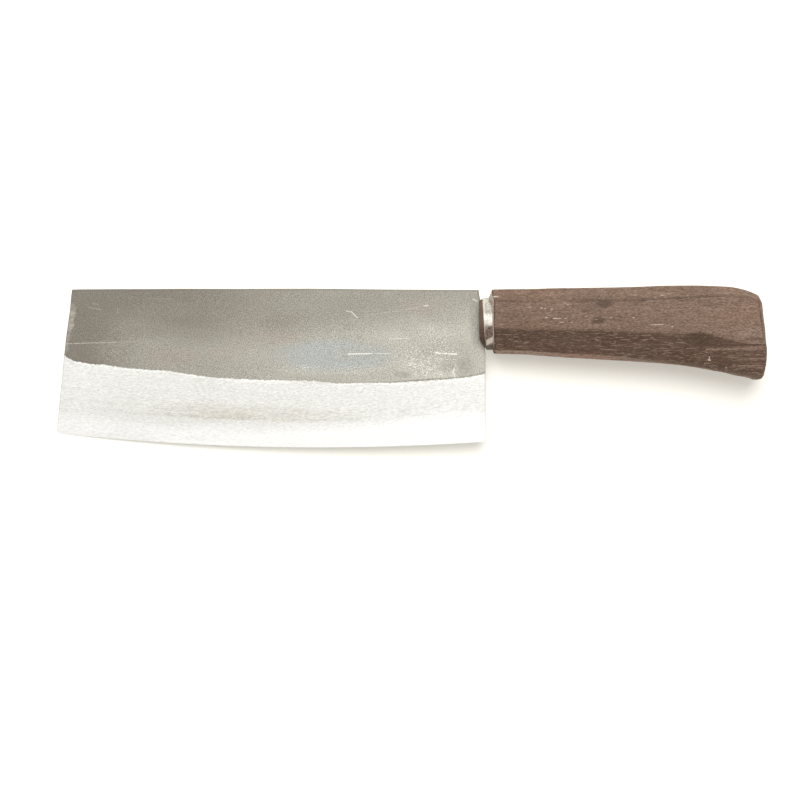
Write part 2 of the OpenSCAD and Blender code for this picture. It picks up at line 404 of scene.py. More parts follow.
def polygon_at(x):
    xt, xm, xl = x + lean(x, 14.0), x + lean(x, -8.0), x + lean(x, -22.0)
    t, w, b, l, st, h = back(xt), bevel(xt), turn_y(xm), belly(xl), strip(xl), thick(x)
    return [(t, 0.66 * h), (t - w, h), (b, h), (l + st, 0.58 * h), (l, 0.40 * h)]


def outline_at(x, bulge=0.16):
    """Points round one section, from the middle of the back, over +Z, round the belly and back.
    Also returns which part of the section each belongs to, from 0 to 5 over each half."""
    half_pts = polygon_at(x)
    pts = [(y, z) for y, z in half_pts] + [(y, -z) for y, z in half_pts[::-1]]
    spec = [CORNERS[k] for k in range(5)] + [CORNERS[k] for k in (4, 3, 2, 1, 0)]
    flats = [CORNERS[k][2] for k in range(5)] + [CORNERS[k][2] for k in (3, 2, 1, 0)] + [BACK_FLAT]
    n = len(pts)
    arcs = []
    for i in range(n):
        p = np.array(pts[i - 1])
        c = np.array(pts[i])
        q = np.array(pts[(i + 1) % n])
        u, v = p - c, q - c
        lu, lv = np.linalg.norm(u), np.linalg.norm(v)
        u, v = u / lu, v / lv
        ang = math.acos(max(-1, min(1, float(u @ v))))
        r = spec[i][1]
        tang = min(r / math.tan(ang / 2), 0.42 * lu, 0.42 * lv)
        a, b = c + u * tang, c + v * tang
        k = spec[i][0]
        f = np.linspace(0, 1, k)[:, None]
        arcs.append((1 - f) ** 2 * a + 2 * f * (1 - f) * c + f * f * b)
    out, part = [], []
    for i in range(n):
        out.append(arcs[i])
        part += [i if i < 5 else 9 - i] * len(arcs[i])
        a, b = arcs[i][-1], arcs[(i + 1) % n][0]
        k = flats[i]
        f = (np.arange(1, k + 1) / (k + 1))[:, None]
        seg = a * (1 - f) + b * f
        d = b - a
        dl = np.linalg.norm(d) or 1
        normal = np.array([-d[1], d[0]]) / dl
        mid = (a + b) / 2
        if normal @ (mid - np.array([-2.0, 0.0])) < 0:
            normal = -normal
        amount = bulge * min(1.0, dl / 10.0)
        out.append(seg + normal * (4 * f * (1 - f)) * amount)
        part += [(i if i < 5 else 8 - i if i < 9 else -1) + 0.5] * k
    return np.vstack(out), np.array(part, float)


rasp = waves(41, 10, 1 / 14.0, 1 / 3.0)
carve = waves(42, 8, 1 / 60.0, 1 / 15.0)


def body_ring(x, inset=0.0):
    """One ring of the handle's outside at station x, its end leaning to the butt's face."""
    sec, part = outline_at(min(x, X_END))
    y, z = sec[:, 0], sec[:, 1]
    nxt, prv = np.roll(sec, -1, 0), np.roll(sec, 1, 0)
    d = nxt - prv
    d = d / np.maximum(np.linalg.norm(d, axis=1)[:, None], 1e-9)
    nrm = np.stack([-d[:, 1], d[:, 0]], -1)
    sign = np.sign(np.sum(nrm * (sec - np.array([-2.0, 0])), axis=1))
    nrm = nrm * sign[:, None]
    ang = np.arctan2(z, y)
    rough = 0.05 * carve(np.full_like(y, x), ang * 9) * min(1, max(0, (x - 3) / 8))
    # rasp lines along the underside near the butt
    near = float(smooth(96, 126, x))
    lower = smooth(-6.5, -10.5, y)
    rough = rough + near * lower * (0.16 * np.sin(y * 2.55 + 0.6 * math.sin(x * 0.09)) + 0.05 * rasp(x * 0.15, y))
    y2, z2 = y + nrm[:, 0] * (rough - inset), z + nrm[:, 1] * (rough - inset)
    # at the very front the section never goes inside the ferrule's seat
    keep = 12.42 * (1 - smooth(3.5, 8.0, x))
    r = np.hypot(y2, z2)
    if keep > 0:
        rr = np.maximum(r, keep)
        y2, z2 = y2 * rr / r, z2 * rr / r
    return np.stack([x + lean(x, y), y2, z2], -1), part


sec0, part0 = outline_at(4.0)
theta = np.arctan2(sec0[:, 1], sec0[:, 0])
NR = len(sec0)


def circle_ring(r, x):
    """A ring of the same number of points round the ferrule's axis; x may differ round it."""
    y, z = r * np.cos(theta), r * np.sin(theta)
    xs = x(y, z) if callable(x) else np.zeros_like(y) + x
    return np.stack([xs, y, z], -1)


def tenon_x(y, z):
    return back_x(y) + 0.06


# the chamfered front edge: where it starts beside the ferrule and where it meets the outside, round the section
full, _ = body_ring(4.6)
fy, fz = full[:, 1], full[:, 2]
high = smooth(10.5, 13.2, fy)
around_a = np.arctan2(fz, fy)
edge_x = 4.22 - 1.0 * high + 0.10 * np.sin(3 * around_a + 1.0) + 0.06 * np.sin(11 * around_a)
lip_x = edge_x - 0.58 - 1.05 * smooth(8.8, 11.6, 12.34 * np.cos(theta))

hand_rings, kinds, parts = [], [], []  # kinds: 0 outside, 0.5 its dark front line, 1 lip, 2 tenon, 3 bore, 4 butt


def add(r, kind, part=None):
    hand_rings.append(r)
    kinds.append(kind)
    parts.append(part if part is not None else part0)


for x in np.linspace(81.4, 2.0, 18):
    add(circle_ring(5.1, x), 3)
add(circle_ring(5.1, lambda y, z: tenon_x(y, z)), 3)
for r in (6.6, 8.1, 9.5, 10.6):
    add(circle_ring(r, tenon_x), 2)
add(circle_ring(11.05, lambda y, z: tenon_x(y, z) + 0.05), 2)
add(circle_ring(11.3, lambda y, z: tenon_x(y, z) + 0.22), 2)
add(circle_ring(11.38, lambda y, z: tenon_x(y, z) + 0.55), 2)
for x in (1.2, 2.6, 4.0, 4.95):
    add(circle_ring(11.38, x), 2)
add(circle_ring(12.22, 4.98), 2)
add(circle_ring(12.24, 4.2), 2)
add(circle_ring(12.26, lip_x + 0.25), 2)
add(circle_ring(12.32, lip_x + 0.04), 1)
# the shoulder, from the ferrule out to the full section
seat = circle_ring(12.34, lip_x)
width = np.hypot(fy - seat[:, 1], fz - seat[:, 2])
top_part = smooth(8.8, 11.6, 12.34 * np.cos(theta))
reach = np.minimum(1.25, width) * (1 - top_part) + width * top_part
for f in (0.12, 0.32, 0.5, 0.64, 0.76, 0.86, 0.94):
    rise = np.clip(1 - (1 - f) * width / reach, 0, 1) ** (1.25 - 0.25 * top_part)
    add(np.stack([lip_x + (edge_x - lip_x) * rise, seat[:, 1] * (1 - f) + fy * f, seat[:, 2] * (1 - f) + fz * f], -1), 1)
add(np.stack([edge_x, fy * 0.996, fz * 0.996], -1), 1)
add(np.stack([edge_x + 0.06, fy * 0.993, fz * 0.993], -1), 0.5)
add(np.stack([edge_x + 0.62, fy * 0.993, fz * 0.993], -1), 0.5)
add(np.stack([edge_x + 0.78, fy, fz], -1), 0)
FIRST_BODY = len(hand_rings)
stations = np.concatenate([[5.45, 5.8], np.arange(6.2, 96, 0.9), np.arange(96.2, 127.3, 0.55)])
for x in stations:
    r, part = body_ring(x)
    if x < 7:
        f = float(smooth(4.4, 7, x))
        r[:, 0] = x + (1 - f) * np.minimum(edge_x + 0.78 - 4.9, 0)
    add(r, 0, part)
BUTT_R = 1.35
for a in np.linspace(0.12, 1, 9):
    ang = a * math.pi / 2
    r, part = body_ring(X_END - BUTT_R + BUTT_R * math.sin(ang), BUTT_R * (1 - math.cos(ang)))
    add(r, 0 if a < 0.5 else 4, part)
rim = hand_rings[-1]
centre_y, centre_z = float(rim[:, 1].mean()), 0.0
grain = waves(51, 12, 1 / 6.0, 1 / 1.6)
for f in (0.965, 0.92, 0.86, 0.78, 0.69, 0.59, 0.48, 0.37, 0.26, 0.15, 0.06):
    yy = centre_y + (rim[:, 1] - centre_y) * f
    zz = centre_z + (rim[:, 2] - centre_z) * f
    xx = butt_x(yy) + 0.10 * (1 - f) + 0.035 * grain(yy, zz) + 0.10 * np.sin(yy * 2.55) * smooth(-6.5, -10.5, yy)
    add(np.stack([xx, yy, zz], -1), 4)

hv = np.vstack(hand_rings)
nrings = len(hand_rings)
kind_pt = np.repeat(np.array(kinds, float), NR)
part_pt = np.concatenate(parts)
start_c, end_c = len(hv), len(hv) + 1
hv = np.vstack([hv, [[81.4, 0, 0]], [[float(butt_x(centre_y)) + 0.1, centre_y, 0]]])
kind_pt = np.append(kind_pt, [3, 4])
part_pt = np.append(part_pt, [0, 0])
HX = 1 / 142.0
perim = np.zeros(NR + 1)
mid_ring, _ = body_ring(60)
for n in range(NR):
    p, q = mid_ring[n], mid_ring[(n + 1) % NR]
    perim[n + 1] = perim[n] + math.dist(p[1:], q[1:])


def hand_uv(ri, n):
    k = kinds[ri]
    p = hand_rings[ri][n % NR]
    if k in (0, 0.5, 1):
        return ((p[0] + 2) * HX, (perim[n] + 1) * HX)
    if k == 4:
        return ((p[1] + 30) * HX, (p[2] + 14 + 104) * HX)
    if k == 2:
        return ((p[1] + 62 + 0.6 * (0 if p[0] < 1 else 1)) * HX, (p[2] + 14 + 104) * HX)
    return ((p[0] + 10) * HX, (136 + 4.5 * n / NR) * HX)


hq, huv = [], []
for ri in range(nrings - 1):
    for n in range(NR):
        b = (n + 1) % NR
        hq.append((ri * NR + n, ri * NR + b, (ri + 1) * NR + b, (ri + 1) * NR + n))
        k = kinds[ri + 1]
        if kinds[ri] == k or {kinds[ri], k} <= {0, 0.5, 1}:
            huv.append([hand_uv(ri, n), hand_uv(ri, n + 1), hand_uv(ri + 1, n + 1), hand_uv(ri + 1, n)])
        else:
            save = kinds[ri]
            kinds[ri] = k
            huv.append([hand_uv(ri, n), hand_uv(ri, n + 1), hand_uv(ri + 1, n + 1), hand_uv(ri + 1, n)])
            kinds[ri] = save
for n in range(NR):
    b = (n + 1) % NR
    hq.append((start_c, b, n, -1))
    huv.append([(0.98, 0.99), (0.985, 0.99), (0.985, 0.985)])
    last = (nrings - 1) * NR
    hq.append((end_c, last + n, last + b, -1))
    huv.append([((centre_y + 30) * HX, 118 * HX), hand_uv(nrings - 1, n), hand_uv(nrings - 1, n + 1)])
handle = build("handle_wood", hv, hq, {"kind": kind_pt, "part": part_pt}, huv, sharp=58)

# ---------------------------------------------------------------------------
# Ferrule: a short thin tube with a rolled front lip, cut a little out of square
# ---------------------------------------------------------------------------
profile = [(4.98, 11.42), (2.5, 11.42), (0.6, 11.42), (0.05, 11.43), (-0.22, 11.50), (-0.36, 11.62), (-0.40, 11.78),
           (-0.36, 11.95), (-0.24, 12.07), (-0.05, 12.13), (0.2, 12.15), (0.5, 12.16), (0.9, 12.18), (1.35, 12.19),
           (1.8, 12.20), (2.3, 12.20), (2.8, 12.20), (3.4, 12.20), (4.1, 12.19), (4.8, 12.18), (4.95, 12.12), (4.98, 11.9)]
FS = 224
dent = waves(61, 6, 1 / 16.0, 1 / 6.0)
fv, fq, fuv = [], [], []
for k, (x, r) in enumerate(profile):
    for n in range(FS):
        a = 2 * math.pi * n / FS
        wob = 0.035 * float(dent(a * 12.2, x * 1.5)) if r > 12 else 0.0
        y, z = (r + wob - 0.03) * math.cos(a), (r + wob - 0.03) * math.sin(a)
        skew = -0.068 * y * (1 - (x + 0.4) / 5.4) if x < 4.9 else 0.0
        fv.append((x + skew, y, z))
plen = [0.0]
for (x0, r0), (x1, r1) in zip(profile, profile[1:] + profile[:1]):
    plen.append(plen[-1] + math.hypot(x1 - x0, r1 - r0))
for k in range(len(profile)):
    k2 = (k + 1) % len(profile)
    for n in range(FS):
        b = (n + 1) % FS
        fq.append((k * FS + n, k * FS + b, k2 * FS + b, k2 * FS + n))
        u0, u1 = 0.01 + 0.98 * n / FS, 0.01 + 0.98 * (n + 1) / FS
        v0, v1 = 0.02 + 0.9 * plen[k] / plen[-1], 0.02 + 0.9 * plen[k + 1] / plen[-1]
        fuv.append([(u0, v0), (u1, v0), (u1, v1), (u0, v1)])
ferrule = build("ferrule_ring", fv, fq, None, fuv, sharp=60)

# every closed skin faces outwards
import bmesh
for ob in (blade, handle, ferrule):
    bm = bmesh.new()
    bm.from_mesh(ob.data)
    bmesh.ops.recalc_face_normals(bm, faces=bm.faces)
    bm.to_mesh(ob.data)
    bm.free()
    ob.data.update()


# ---------------------------------------------------------------------------
# Materials
# ---------------------------------------------------------------------------
SCALE_K = 0.777
BEVEL_MID = 0.52
WOOD_K, WOOD_SHADE = 1.55, 0.295


class Nodes:
    """Short names for building a node tree."""

    def __init__(self, name):
        self.mat = bpy.data.materials.new(name)
        self.mat.use_nodes = True
        self.t = self.mat.node_tree
        self.bsdf = self.t.nodes["Principled BSDF"]

    def _in(self, node, key, val):
        if val is None:
            return
        sock = node.inputs[key]
        if isinstance(val, bpy.types.NodeSocket):
            self.t.links.new(val, sock)
        else:
            sock.default_value = val

    def attr(self, name):
        n = self.t.nodes.new("ShaderNodeAttribute")
        n.attribute_name = name
        return n

    def kf(self):
        return self.attr("kf").outputs["Vector"]

    def val(self, name):
        return self.attr(name).outputs["Fac"]

    def m(self, op, a, b=None, c=None, clamp=False):
        n = self.t.nodes.new("ShaderNodeMath")
        n.operation = op
        n.use_clamp = clamp
        for i, v in enumerate((a, b, c)):
            if v is not None:
                self._in(n, i, v)
        return n.outputs[0]

    def vm(self, op, a, b=None):
        n = self.t.nodes.new("ShaderNodeVectorMath")
        n.operation = op
        self._in(n, 0, a)
        if b is not None:
            self._in(n, 1, b)
        return n.outputs["Value"] if op in ("LENGTH", "DISTANCE", "DOT_PRODUCT") else n.outputs[0]

    def scale(self, v, xyz):
        return self.vm("MULTIPLY", v, xyz)

    def sep(self, v):
        n = self.t.nodes.new("ShaderNodeSeparateXYZ")
        self._in(n, 0, v)
        return n.outputs[0], n.outputs[1], n.outputs[2]

    def comb(self, x, y, z):
        n = self.t.nodes.new("ShaderNodeCombineXYZ")
        for i, v in enumerate((x, y, z)):
            self._in(n, i, v)
        return n.outputs[0]

    def noise(self, v, scale=1.0, detail=3.0, rough=0.55, dist=0.0, lac=2.0):
        n = self.t.nodes.new("ShaderNodeTexNoise")
        self._in(n, "Vector", v)
        self._in(n, "Scale", scale)
        self._in(n, "Detail", detail)
        self._in(n, "Roughness", rough)
        self._in(n, "Lacunarity", lac)
        self._in(n, "Distortion", dist)
        return n.outputs[0]

    def voro(self, v, scale=1.0, feature="F1", rand=1.0, out="Distance"):
        n = self.t.nodes.new("ShaderNodeTexVoronoi")
        n.feature = feature
        self._in(n, "Vector", v)
        self._in(n, "Scale", scale)
        self._in(n, "Randomness", rand)
        return n.outputs[out]

    def remap(self, v, a, b, c=0.0, d=1.0, smooth_=True):
        n = self.t.nodes.new("ShaderNodeMapRange")
        n.interpolation_type = "SMOOTHSTEP" if smooth_ else "LINEAR"
        for i, q in enumerate((v, a, b, c, d)):
            self._in(n, i, q)
        return n.outputs[0]

    def ramp(self, v, stops):
        n = self.t.nodes.new("ShaderNodeValToRGB")
        el = n.color_ramp.elements
        while len(el) > 1:
            el.remove(el[-1])
        el[0].position = stops[0][0]
        el[0].color = (*stops[0][1], 1)
        for p, c in stops[1:]:
            e = el.new(p)
            e.color = (*c, 1)
        self._in(n, 0, v)
        return n.outputs[0]

    def mix(self, f, a, b, mode="MIX"):
        n = self.t.nodes.new("ShaderNodeMix")
        n.data_type = "RGBA"
        n.blend_type = mode
        n.clamp_factor = True
        self._in(n, 0, f)
        for key, v in ((6, a), (7, b)):
            if isinstance(v, tuple):
                v = (*v, 1.0) if len(v) == 3 else v
            self._in(n, key, v)
        return n.outputs[2]

    def blend(self, f, a, b):
        """A number between a and b."""
        n = self.t.nodes.new("ShaderNodeMix")
        n.data_type = "FLOAT"
        self._in(n, 0, f)
        self._in(n, 2, a)
        self._in(n, 3, b)
        return n.outputs[0]

    def bump(self, height, strength, dist, normal=None):
        n = self.t.nodes.new("ShaderNodeBump")
        self._in(n, "Height", height)
        self._in(n, "Strength", strength)
        self._in(n, "Distance", dist)
        if normal is not None:
            self._in(n, "Normal", normal)
        return n.outputs[0]

    def stroke(self, x, y, a, b, width, soft=0.25):
        """1 along the straight line from a to b in the side view, fading over width, with broken ends."""
        dx, dy = b[0] - a[0], b[1] - a[1]
        ll = dx * dx + dy * dy
        px, py = self.m("SUBTRACT", x, a[0]), self.m("SUBTRACT", y, a[1])
        t = self.m("DIVIDE", self.m("ADD", self.m("MULTIPLY", px, dx), self.m("MULTIPLY", py, dy)), ll, clamp=True)
        ex = self.m("SUBTRACT", px, self.m("MULTIPLY", t, dx))
        ey = self.m("SUBTRACT", py, self.m("MULTIPLY", t, dy))
        d = self.m("SQRT", self.m("ADD", self.m("MULTIPLY", ex, ex), self.m("MULTIPLY", ey, ey)))
        return self.remap(d, width * (1 + soft), width * (1 - soft), 0.0, 1.0)


def total(n, items):
    out = items[0]
    for i in items[1:]:
        out = n.m("MAXIMUM", out, i)
    return out


# ---- forged and ground steel ----------------------------------------------
def oval(n, x, y, cx, cy, rx, ry, inner=0.15):
    """1 in the middle of an ellipse in the side view, falling to 0 at its border."""
    ex = n.m("DIVIDE", n.m("SUBTRACT", x, cx), rx)
    ey = n.m("DIVIDE", n.m("SUBTRACT", y, cy), ry)
    return n.remap(n.m("ADD", n.m("MULTIPLY", ex, ex), n.m("MULTIPLY", ey, ey)), 1.0, inner, 0.0, 1.0)


def ovals(n, x, y, rows):
    """The strongest of several ovals, each joined on as it is made."""
    out = None
    for row in rows:
        one = oval(n, x, y, *row)
        out = one if out is None else n.m("MAXIMUM", out, one)
    return out


def strokes(n, x, y, rows, soft=0.25):
    """The strongest of several strokes: rows of start, end and width."""
    out = None
    for a, b, width in rows:
        one = n.stroke(x, y, a, b, width, soft)
        out = one if out is None else n.m("MAXIMUM", out, one)
    return out


def around(n, v, amount):
    """A noise value moved to run evenly round zero."""
    return n.m("MULTIPLY", n.m("SUBTRACT", v, 0.5), amount)


def steel():
    n = Nodes("forged_steel")
    kf = n.kf()
    x, y, z = n.sep(kf)
    gd, rim, cut, face = n.val("gd"), n.val("rim"), n.val("cut"), n.val("face")
    topface = n.remap(face, 0.2, 0.8)
    lowface = n.m("SUBTRACT", 1.0, topface)
    # border of the grind, slightly ragged
    rag = n.noise(n.scale(kf, (0.75, 1.2, 0.3)), 1.0, 4.0, 0.65)
    rag2 = n.noise(n.scale(kf, (0.06, 0.1, 0.1)), 1.0, 2.0, 0.5)
    line = n.m("ADD", gd, n.m("ADD", around(n, rag, 1.7), around(n, rag2, 1.2)))
    cheek_f = n.remap(line, -0.14, 0.14, 0.0, 1.0)

    # cheek: matt forge scale, its tone painted darker and browner towards the spine and the front and lighter towards
    # the heel and the grind, as a painted falloff of the lamp's light across the plate
    u = n.remap(x, -186.5, -13.5, 0.0, 1.0, False)
    tone = n.remap(u, 0.16, 0.64, 0.229, 0.361)
    tone = n.m("ADD", tone, n.remap(u, 0.86, 1.0, 0.0, 0.028))
    middle = n.m("ADD", n.m("ADD", n.remap(u, 0.05, 0.35, 2.5, -5.5), n.remap(u, 0.35, 0.52, 0.0, -2.0)),
                 n.m("ADD", n.remap(u, 0.54, 0.70, 0.0, 6.5), n.remap(u, 0.72, 1.0, 0.0, 6.5)))
    sweep = n.noise(n.scale(kf, (0.018, 0.07, 0.05)), 1.0, 3.0, 0.55)
    fall = n.remap(n.m("SUBTRACT", middle, n.m("ADD", y, around(n, sweep, 9.0))), -9.5, 9.5)
    amount = n.m("ADD", n.remap(u, 0.0, 0.17, 0.0, 0.155), n.remap(u, 0.68, 0.85, 0.0, 0.03))
    tone = n.m("ADD", tone, n.m("MULTIPLY", fall, amount))
    cloud = n.noise(n.scale(kf, (0.022, 0.05, 0.05)), 1.0, 3.0, 0.55)
    fine = n.noise(n.scale(kf, (2.3, 2.5, 2.4)), 1.0, 1.0, 0.6)
    speck = n.noise(n.scale(kf, (0.45, 0.7, 0.6)), 1.0, 4.0, 0.75)
    vary = n.m("ADD", around(n, cloud, 0.22), n.m("ADD", around(n, fine, 2.3), around(n, speck, 0.30)))
    tone = n.m("MULTIPLY", tone, n.m("ADD", 1.0, vary))
    for cx, cy, rx, ry, amt in ((-149.5, 7.1, 17, 6.5, 0.11), (-177.5, -12.0, 10, 7, 0.11), (-160.0, -4.1, 13, 4, -0.11),
                                (-20.0, 3.3, 13, 8, -0.10), (-95.7, 1.9, 13, 6, -0.06), (-44.2, -6.0, 13, 4, 0.07),
                                (-18.6, -13.0, 17, 9, -0.15)):
        tone = n.m("MULTIPLY", tone, n.m("ADD", 1.0, n.m("MULTIPLY", oval(n, x, y, cx, cy, rx, ry, 0.0), amt)))
    scale_c = n.ramp(tone, [(t, tuple(k * SCALE_K for k in c)) for t, c in (
        (0.06, (0.070, 0.060, 0.046)), (0.15, (0.168, 0.152, 0.123)), (0.231, (0.256, 0.233, 0.193)),
        (0.305, (0.329, 0.309, 0.264)), (0.376, (0.399, 0.383, 0.332)), (0.469, (0.490, 0.477, 0.417)),
        (0.546, (0.566, 0.555, 0.491)), (0.75, (0.768, 0.760, 0.685)))])
    # temper tints: faint pink and blue patches
    wisp = n.remap(n.noise(n.scale(kf, (0.05, 0.13, 0.1)), 1.0, 3.0, 0.6), 0.36, 0.60, 0.55, 1.0)
    up_pink = ovals(n, x, y, [(-146.0, -15.0, 17.0, 5.5), (-101.0, -6.5, 22.0, 4.5), (-28.0, 8.3, 13.0, 5.0),
                              (-121.0, -12.5, 12.0, 3.5)])
    dn_pink = ovals(n, x, y, [(-60.0, 3.0, 26.0, 6.0), (-140.0, -8.0, 18.0, 5.0)])
    pink = n.m("ADD", n.m("MULTIPLY", up_pink, topface), n.m("MULTIPLY", dn_pink, lowface))
    pink = n.m("MULTIPLY", n.m("MULTIPLY", pink, wisp), 0.85)
    scale_c = n.mix(pink, scale_c, (1.03, 0.985, 0.97), "MULTIPLY")
    blue = n.m("ADD", n.m("MULTIPLY", oval(n, x, y, -71.0, -14.8, 34.0, 9.5), topface),
               n.m("MULTIPLY", oval(n, x, y, -105.0, -15.0, 20.0, 5.0), lowface))
    blue = n.m("MULTIPLY", n.m("MULTIPLY", blue, wisp), 0.86)
    scale_c = n.mix(blue, scale_c, (0.895, 1.0, 1.135), "MULTIPLY")

    # wear: a rubbed band beside the front edge, scratches and small nicks
    to_front = n.m("ADD", x, n.m("ADD", 193.8, n.m("MULTIPLY", n.m("SUBTRACT", 16.5, y), 0.1128)))
    blot = n.noise(n.scale(kf, (0.42, 0.30, 0.3)), 1.0, 3.0, 0.6)
    to_front = n.m("ADD", to_front, around(n, blot, 4.5))
    rub = n.m("MULTIPLY", n.remap(to_front, 3.2, 2.2), n.m("MULTIPLY", n.remap(y, 9.5, 6.5), n.remap(y, -5.5, -1.5)))
    rub2 = n.m("MULTIPLY", n.remap(to_front, 2.2, 0.8), n.m("MULTIPLY", n.remap(y, 14.0, 11.0), n.remap(y, -14.5, -10.5)))
    rub = n.m("MAXIMUM", n.m("MULTIPLY", rub, 0.29), n.m("MULTIPLY", rub2, 0.19))
    rub = n.m("MULTIPLY", rub, n.remap(speck, 0.36, 0.58, 0.35, 1.0))
    faint_up = [
        ((-197.0, -9.0), (-164.0, -8.1), 0.16), ((-186.0, 8.0), (-179.5, 6.8), 0.16),
        ((-183.5, 9.6), (-181.0, 9.4), 0.16), ((-172.0, 7.6), (-172.0, 5.2), 0.13),
        ((-56.5, 4.1), (-40.0, 6.0), 0.14), ((-40.0, 6.0), (-31.0, 7.8), 0.12),
        ((-54.5, -7.0), (-53.8, -12.0), 0.14),
        ((-39.0, -25.6), (-15.0, -24.3), 0.14), ((-47.0, 14.0), (-44.0, 14.1), 0.12),
        ((-160.0, -7.2), (-158.9, -4.6), 0.13), ((-5.5, 12.2), (-3.4, 10.6), 0.20),
        ((-96.0, -9.4), (-86.0, -9.0), 0.12), ((-77.0, -22.8), (-60.0, -22.4), 0.12),
    ]
    bright_up = [
        ((-63.8, -14.0), (-52.6, -13.8), 0.26), ((-51.2, -13.75), (-44.5, -13.7), 0.10),
        ((-23.0, -13.3), (-20.7, -13.8), 0.38), ((-19.9, -13.7), (-13.2, -14.05), 0.31),
    ]
    medium_up = [
        ((-196.8, -9.0), (-181.0, -8.6), 0.095), ((-181.0, -8.6), (-173.0, -8.5), 0.07),
        ((-62.6, 6.0), (-59.5, 2.9), 0.22), ((-64.6, 6.0), (-63.0, 5.7), 0.16),
        ((-28.5, 8.3), (-26.5, 8.6), 0.2), ((-13.8, -19.1), (-14.9, -22.4), 0.42),
        ((-14.9, -22.4), (-14.2, -24.3), 0.42), ((-5.6, 11.4), (-4.0, 10.4), 0.34),
        ((-45.0, -6.9), (-35.0, -6.6), 0.12), ((-18.5, -21.5), (-15.5, -24.2), 0.16),
    ]
    faint_dn = [
        ((-170.0, 3.0), (-120.0, -1.0), 0.16), ((-92.0, -10.0), (-60.0, -6.0), 0.16),
        ((-44.0, 9.0), (-20.0, 5.0), 0.14), ((-150.0, -14.0), (-134.0, -12.0), 0.2),
        ((-22.0, -18.0), (-10.0, -11.0), 0.16), ((-186.0, 8.0), (-176.0, 10.0), 0.16),
    ]
    broken = n.remap(n.noise(n.scale(kf, (1.3, 2.4, 1.0)), 1.0, 2.0, 0.7), 0.36, 0.54, 0.25, 1.0)
    lines = n.m("MULTIPLY", strokes(n, x, y, faint_up), 0.24)
    lines = n.m("MAXIMUM", lines, n.m("MULTIPLY", strokes(n, x, y, bright_up), 0.92))
    lines = n.m("MAXIMUM", lines, n.m("MULTIPLY", strokes(n, x, y, medium_up), 0.70))
    lines = n.m("ADD", n.m("MULTIPLY", lines, topface), n.m("MULTIPLY", n.m("MULTIPLY", strokes(n, x, y, faint_dn), 0.3), lowface))
    lines = n.m("MULTIPLY", lines, broken)
    hair = n.noise(n.scale(kf, (0.045, 2.4, 1.0)), 1.0, 2.0, 0.5, 0.25)
    hair = n.m("MULTIPLY", n.remap(hair, 0.645, 0.70, 0.0, 0.11), n.remap(n.noise(n.scale(kf, (0.04, 0.05, 0.05)), 1.0, 1.0, 0.5), 0.44, 0.62))
    dots = n.m("MULTIPLY", n.remap(n.voro(n.scale(kf, (0.36, 0.36, 0.36)), 1.0), 0.13, 0.05, 0.0, 0.17), n.remap(speck, 0.48, 0.60))
    # pale freckles above the grind and curled pale scratches near the heel
    curl_n = n.noise(n.scale(kf, (0.42, 0.50, 0.4)), 1.0, 1.0, 0.5, 1.6)
    curl = n.m("MULTIPLY", n.remap(n.m("ABSOLUTE", n.m("SUBTRACT", curl_n, 0.52)), 0.036, 0.012),
               n.m("MULTIPLY", oval(n, x, y, -25.0, -20.2, 15.5, 5.6, 0.4), n.remap(speck, 0.40, 0.54, 0.0, 0.85)))
    freckle = n.noise(n.vm("ADD", n.scale(kf, (1.7, 1.9, 1.6)), (5.0, 2.0, 9.0)), 1.0, 0.0, 0.5)
    field = ovals(n, x, y, [(-72.0, -21.3, 30.0, 3.2, 0.3), (-27.0, -16.0, 20.0, 11.0, 0.3),
                            (-24.0, -6.0, 12.0, 8.0, 0.1)])
    freckle = n.m("MULTIPLY", n.remap(freckle, 0.61, 0.69, 0.0, 0.80), n.m("MULTIPLY", field, n.remap(cloud, 0.40, 0.55, 0.55, 1.0)))
    wear = total(n, [lines, hair, dots, rub, n.m("MULTIPLY", curl, topface), n.m("MULTIPLY", freckle, topface)])
    scale_c = n.mix(wear, scale_c, tuple(k * SCALE_K for k in (1.0, 0.985, 0.90)))
    # dark smudges near the heel, a painted shadow line along the grind's border towards the heel, and the darker
    # margin of the plate
    smudge = ovals(n, x, y, [(-17.7, -20.1, 6.2, 3.0), (-9.3, -19.6, 5.5, 5.0), (-38.5, -23.6, 5.2, 1.6),
                             (-4.5, 2.0, 3.4, 15.0)])
    grind_edge_shadow = n.m("MULTIPLY", n.remap(n.m("ABSOLUTE", n.m("SUBTRACT", line, 0.55)), 0.50, 0.12),
                n.m("MULTIPLY", n.remap(x, -52.0, -36.0, 0.12, 1.0), n.remap(speck, 0.42, 0.55, 0.25, 1.0)))
    smudge = n.m("MULTIPLY", n.m("MULTIPLY", smudge, topface), n.remap(speck, 0.40, 0.60, 0.25, 1.0))
    scale_c = n.mix(n.m("MAXIMUM", n.m("MULTIPLY", smudge, 0.46), n.m("MULTIPLY", grind_edge_shadow, 0.75)), scale_c, tuple(k * SCALE_K for k in (0.26, 0.235, 0.195)))
    margin = n.m("MULTIPLY", n.remap(rim, 1.1, 0.0, 0.0, 0.55), n.m("MULTIPLY", n.remap(x, -198.5, -190.0, 0.2, 1.0), n.remap(x, -0.6, -2.2, 0.1, 1.0)))
    scale_c = n.mix(margin, scale_c, tuple(k * SCALE_K for k in (0.175, 0.152, 0.124)))
    cheek_rough = n.m("ADD", 0.50, around(n, fine, 0.22))
    cheek_rough = n.blend(wear, cheek_rough, 0.36)

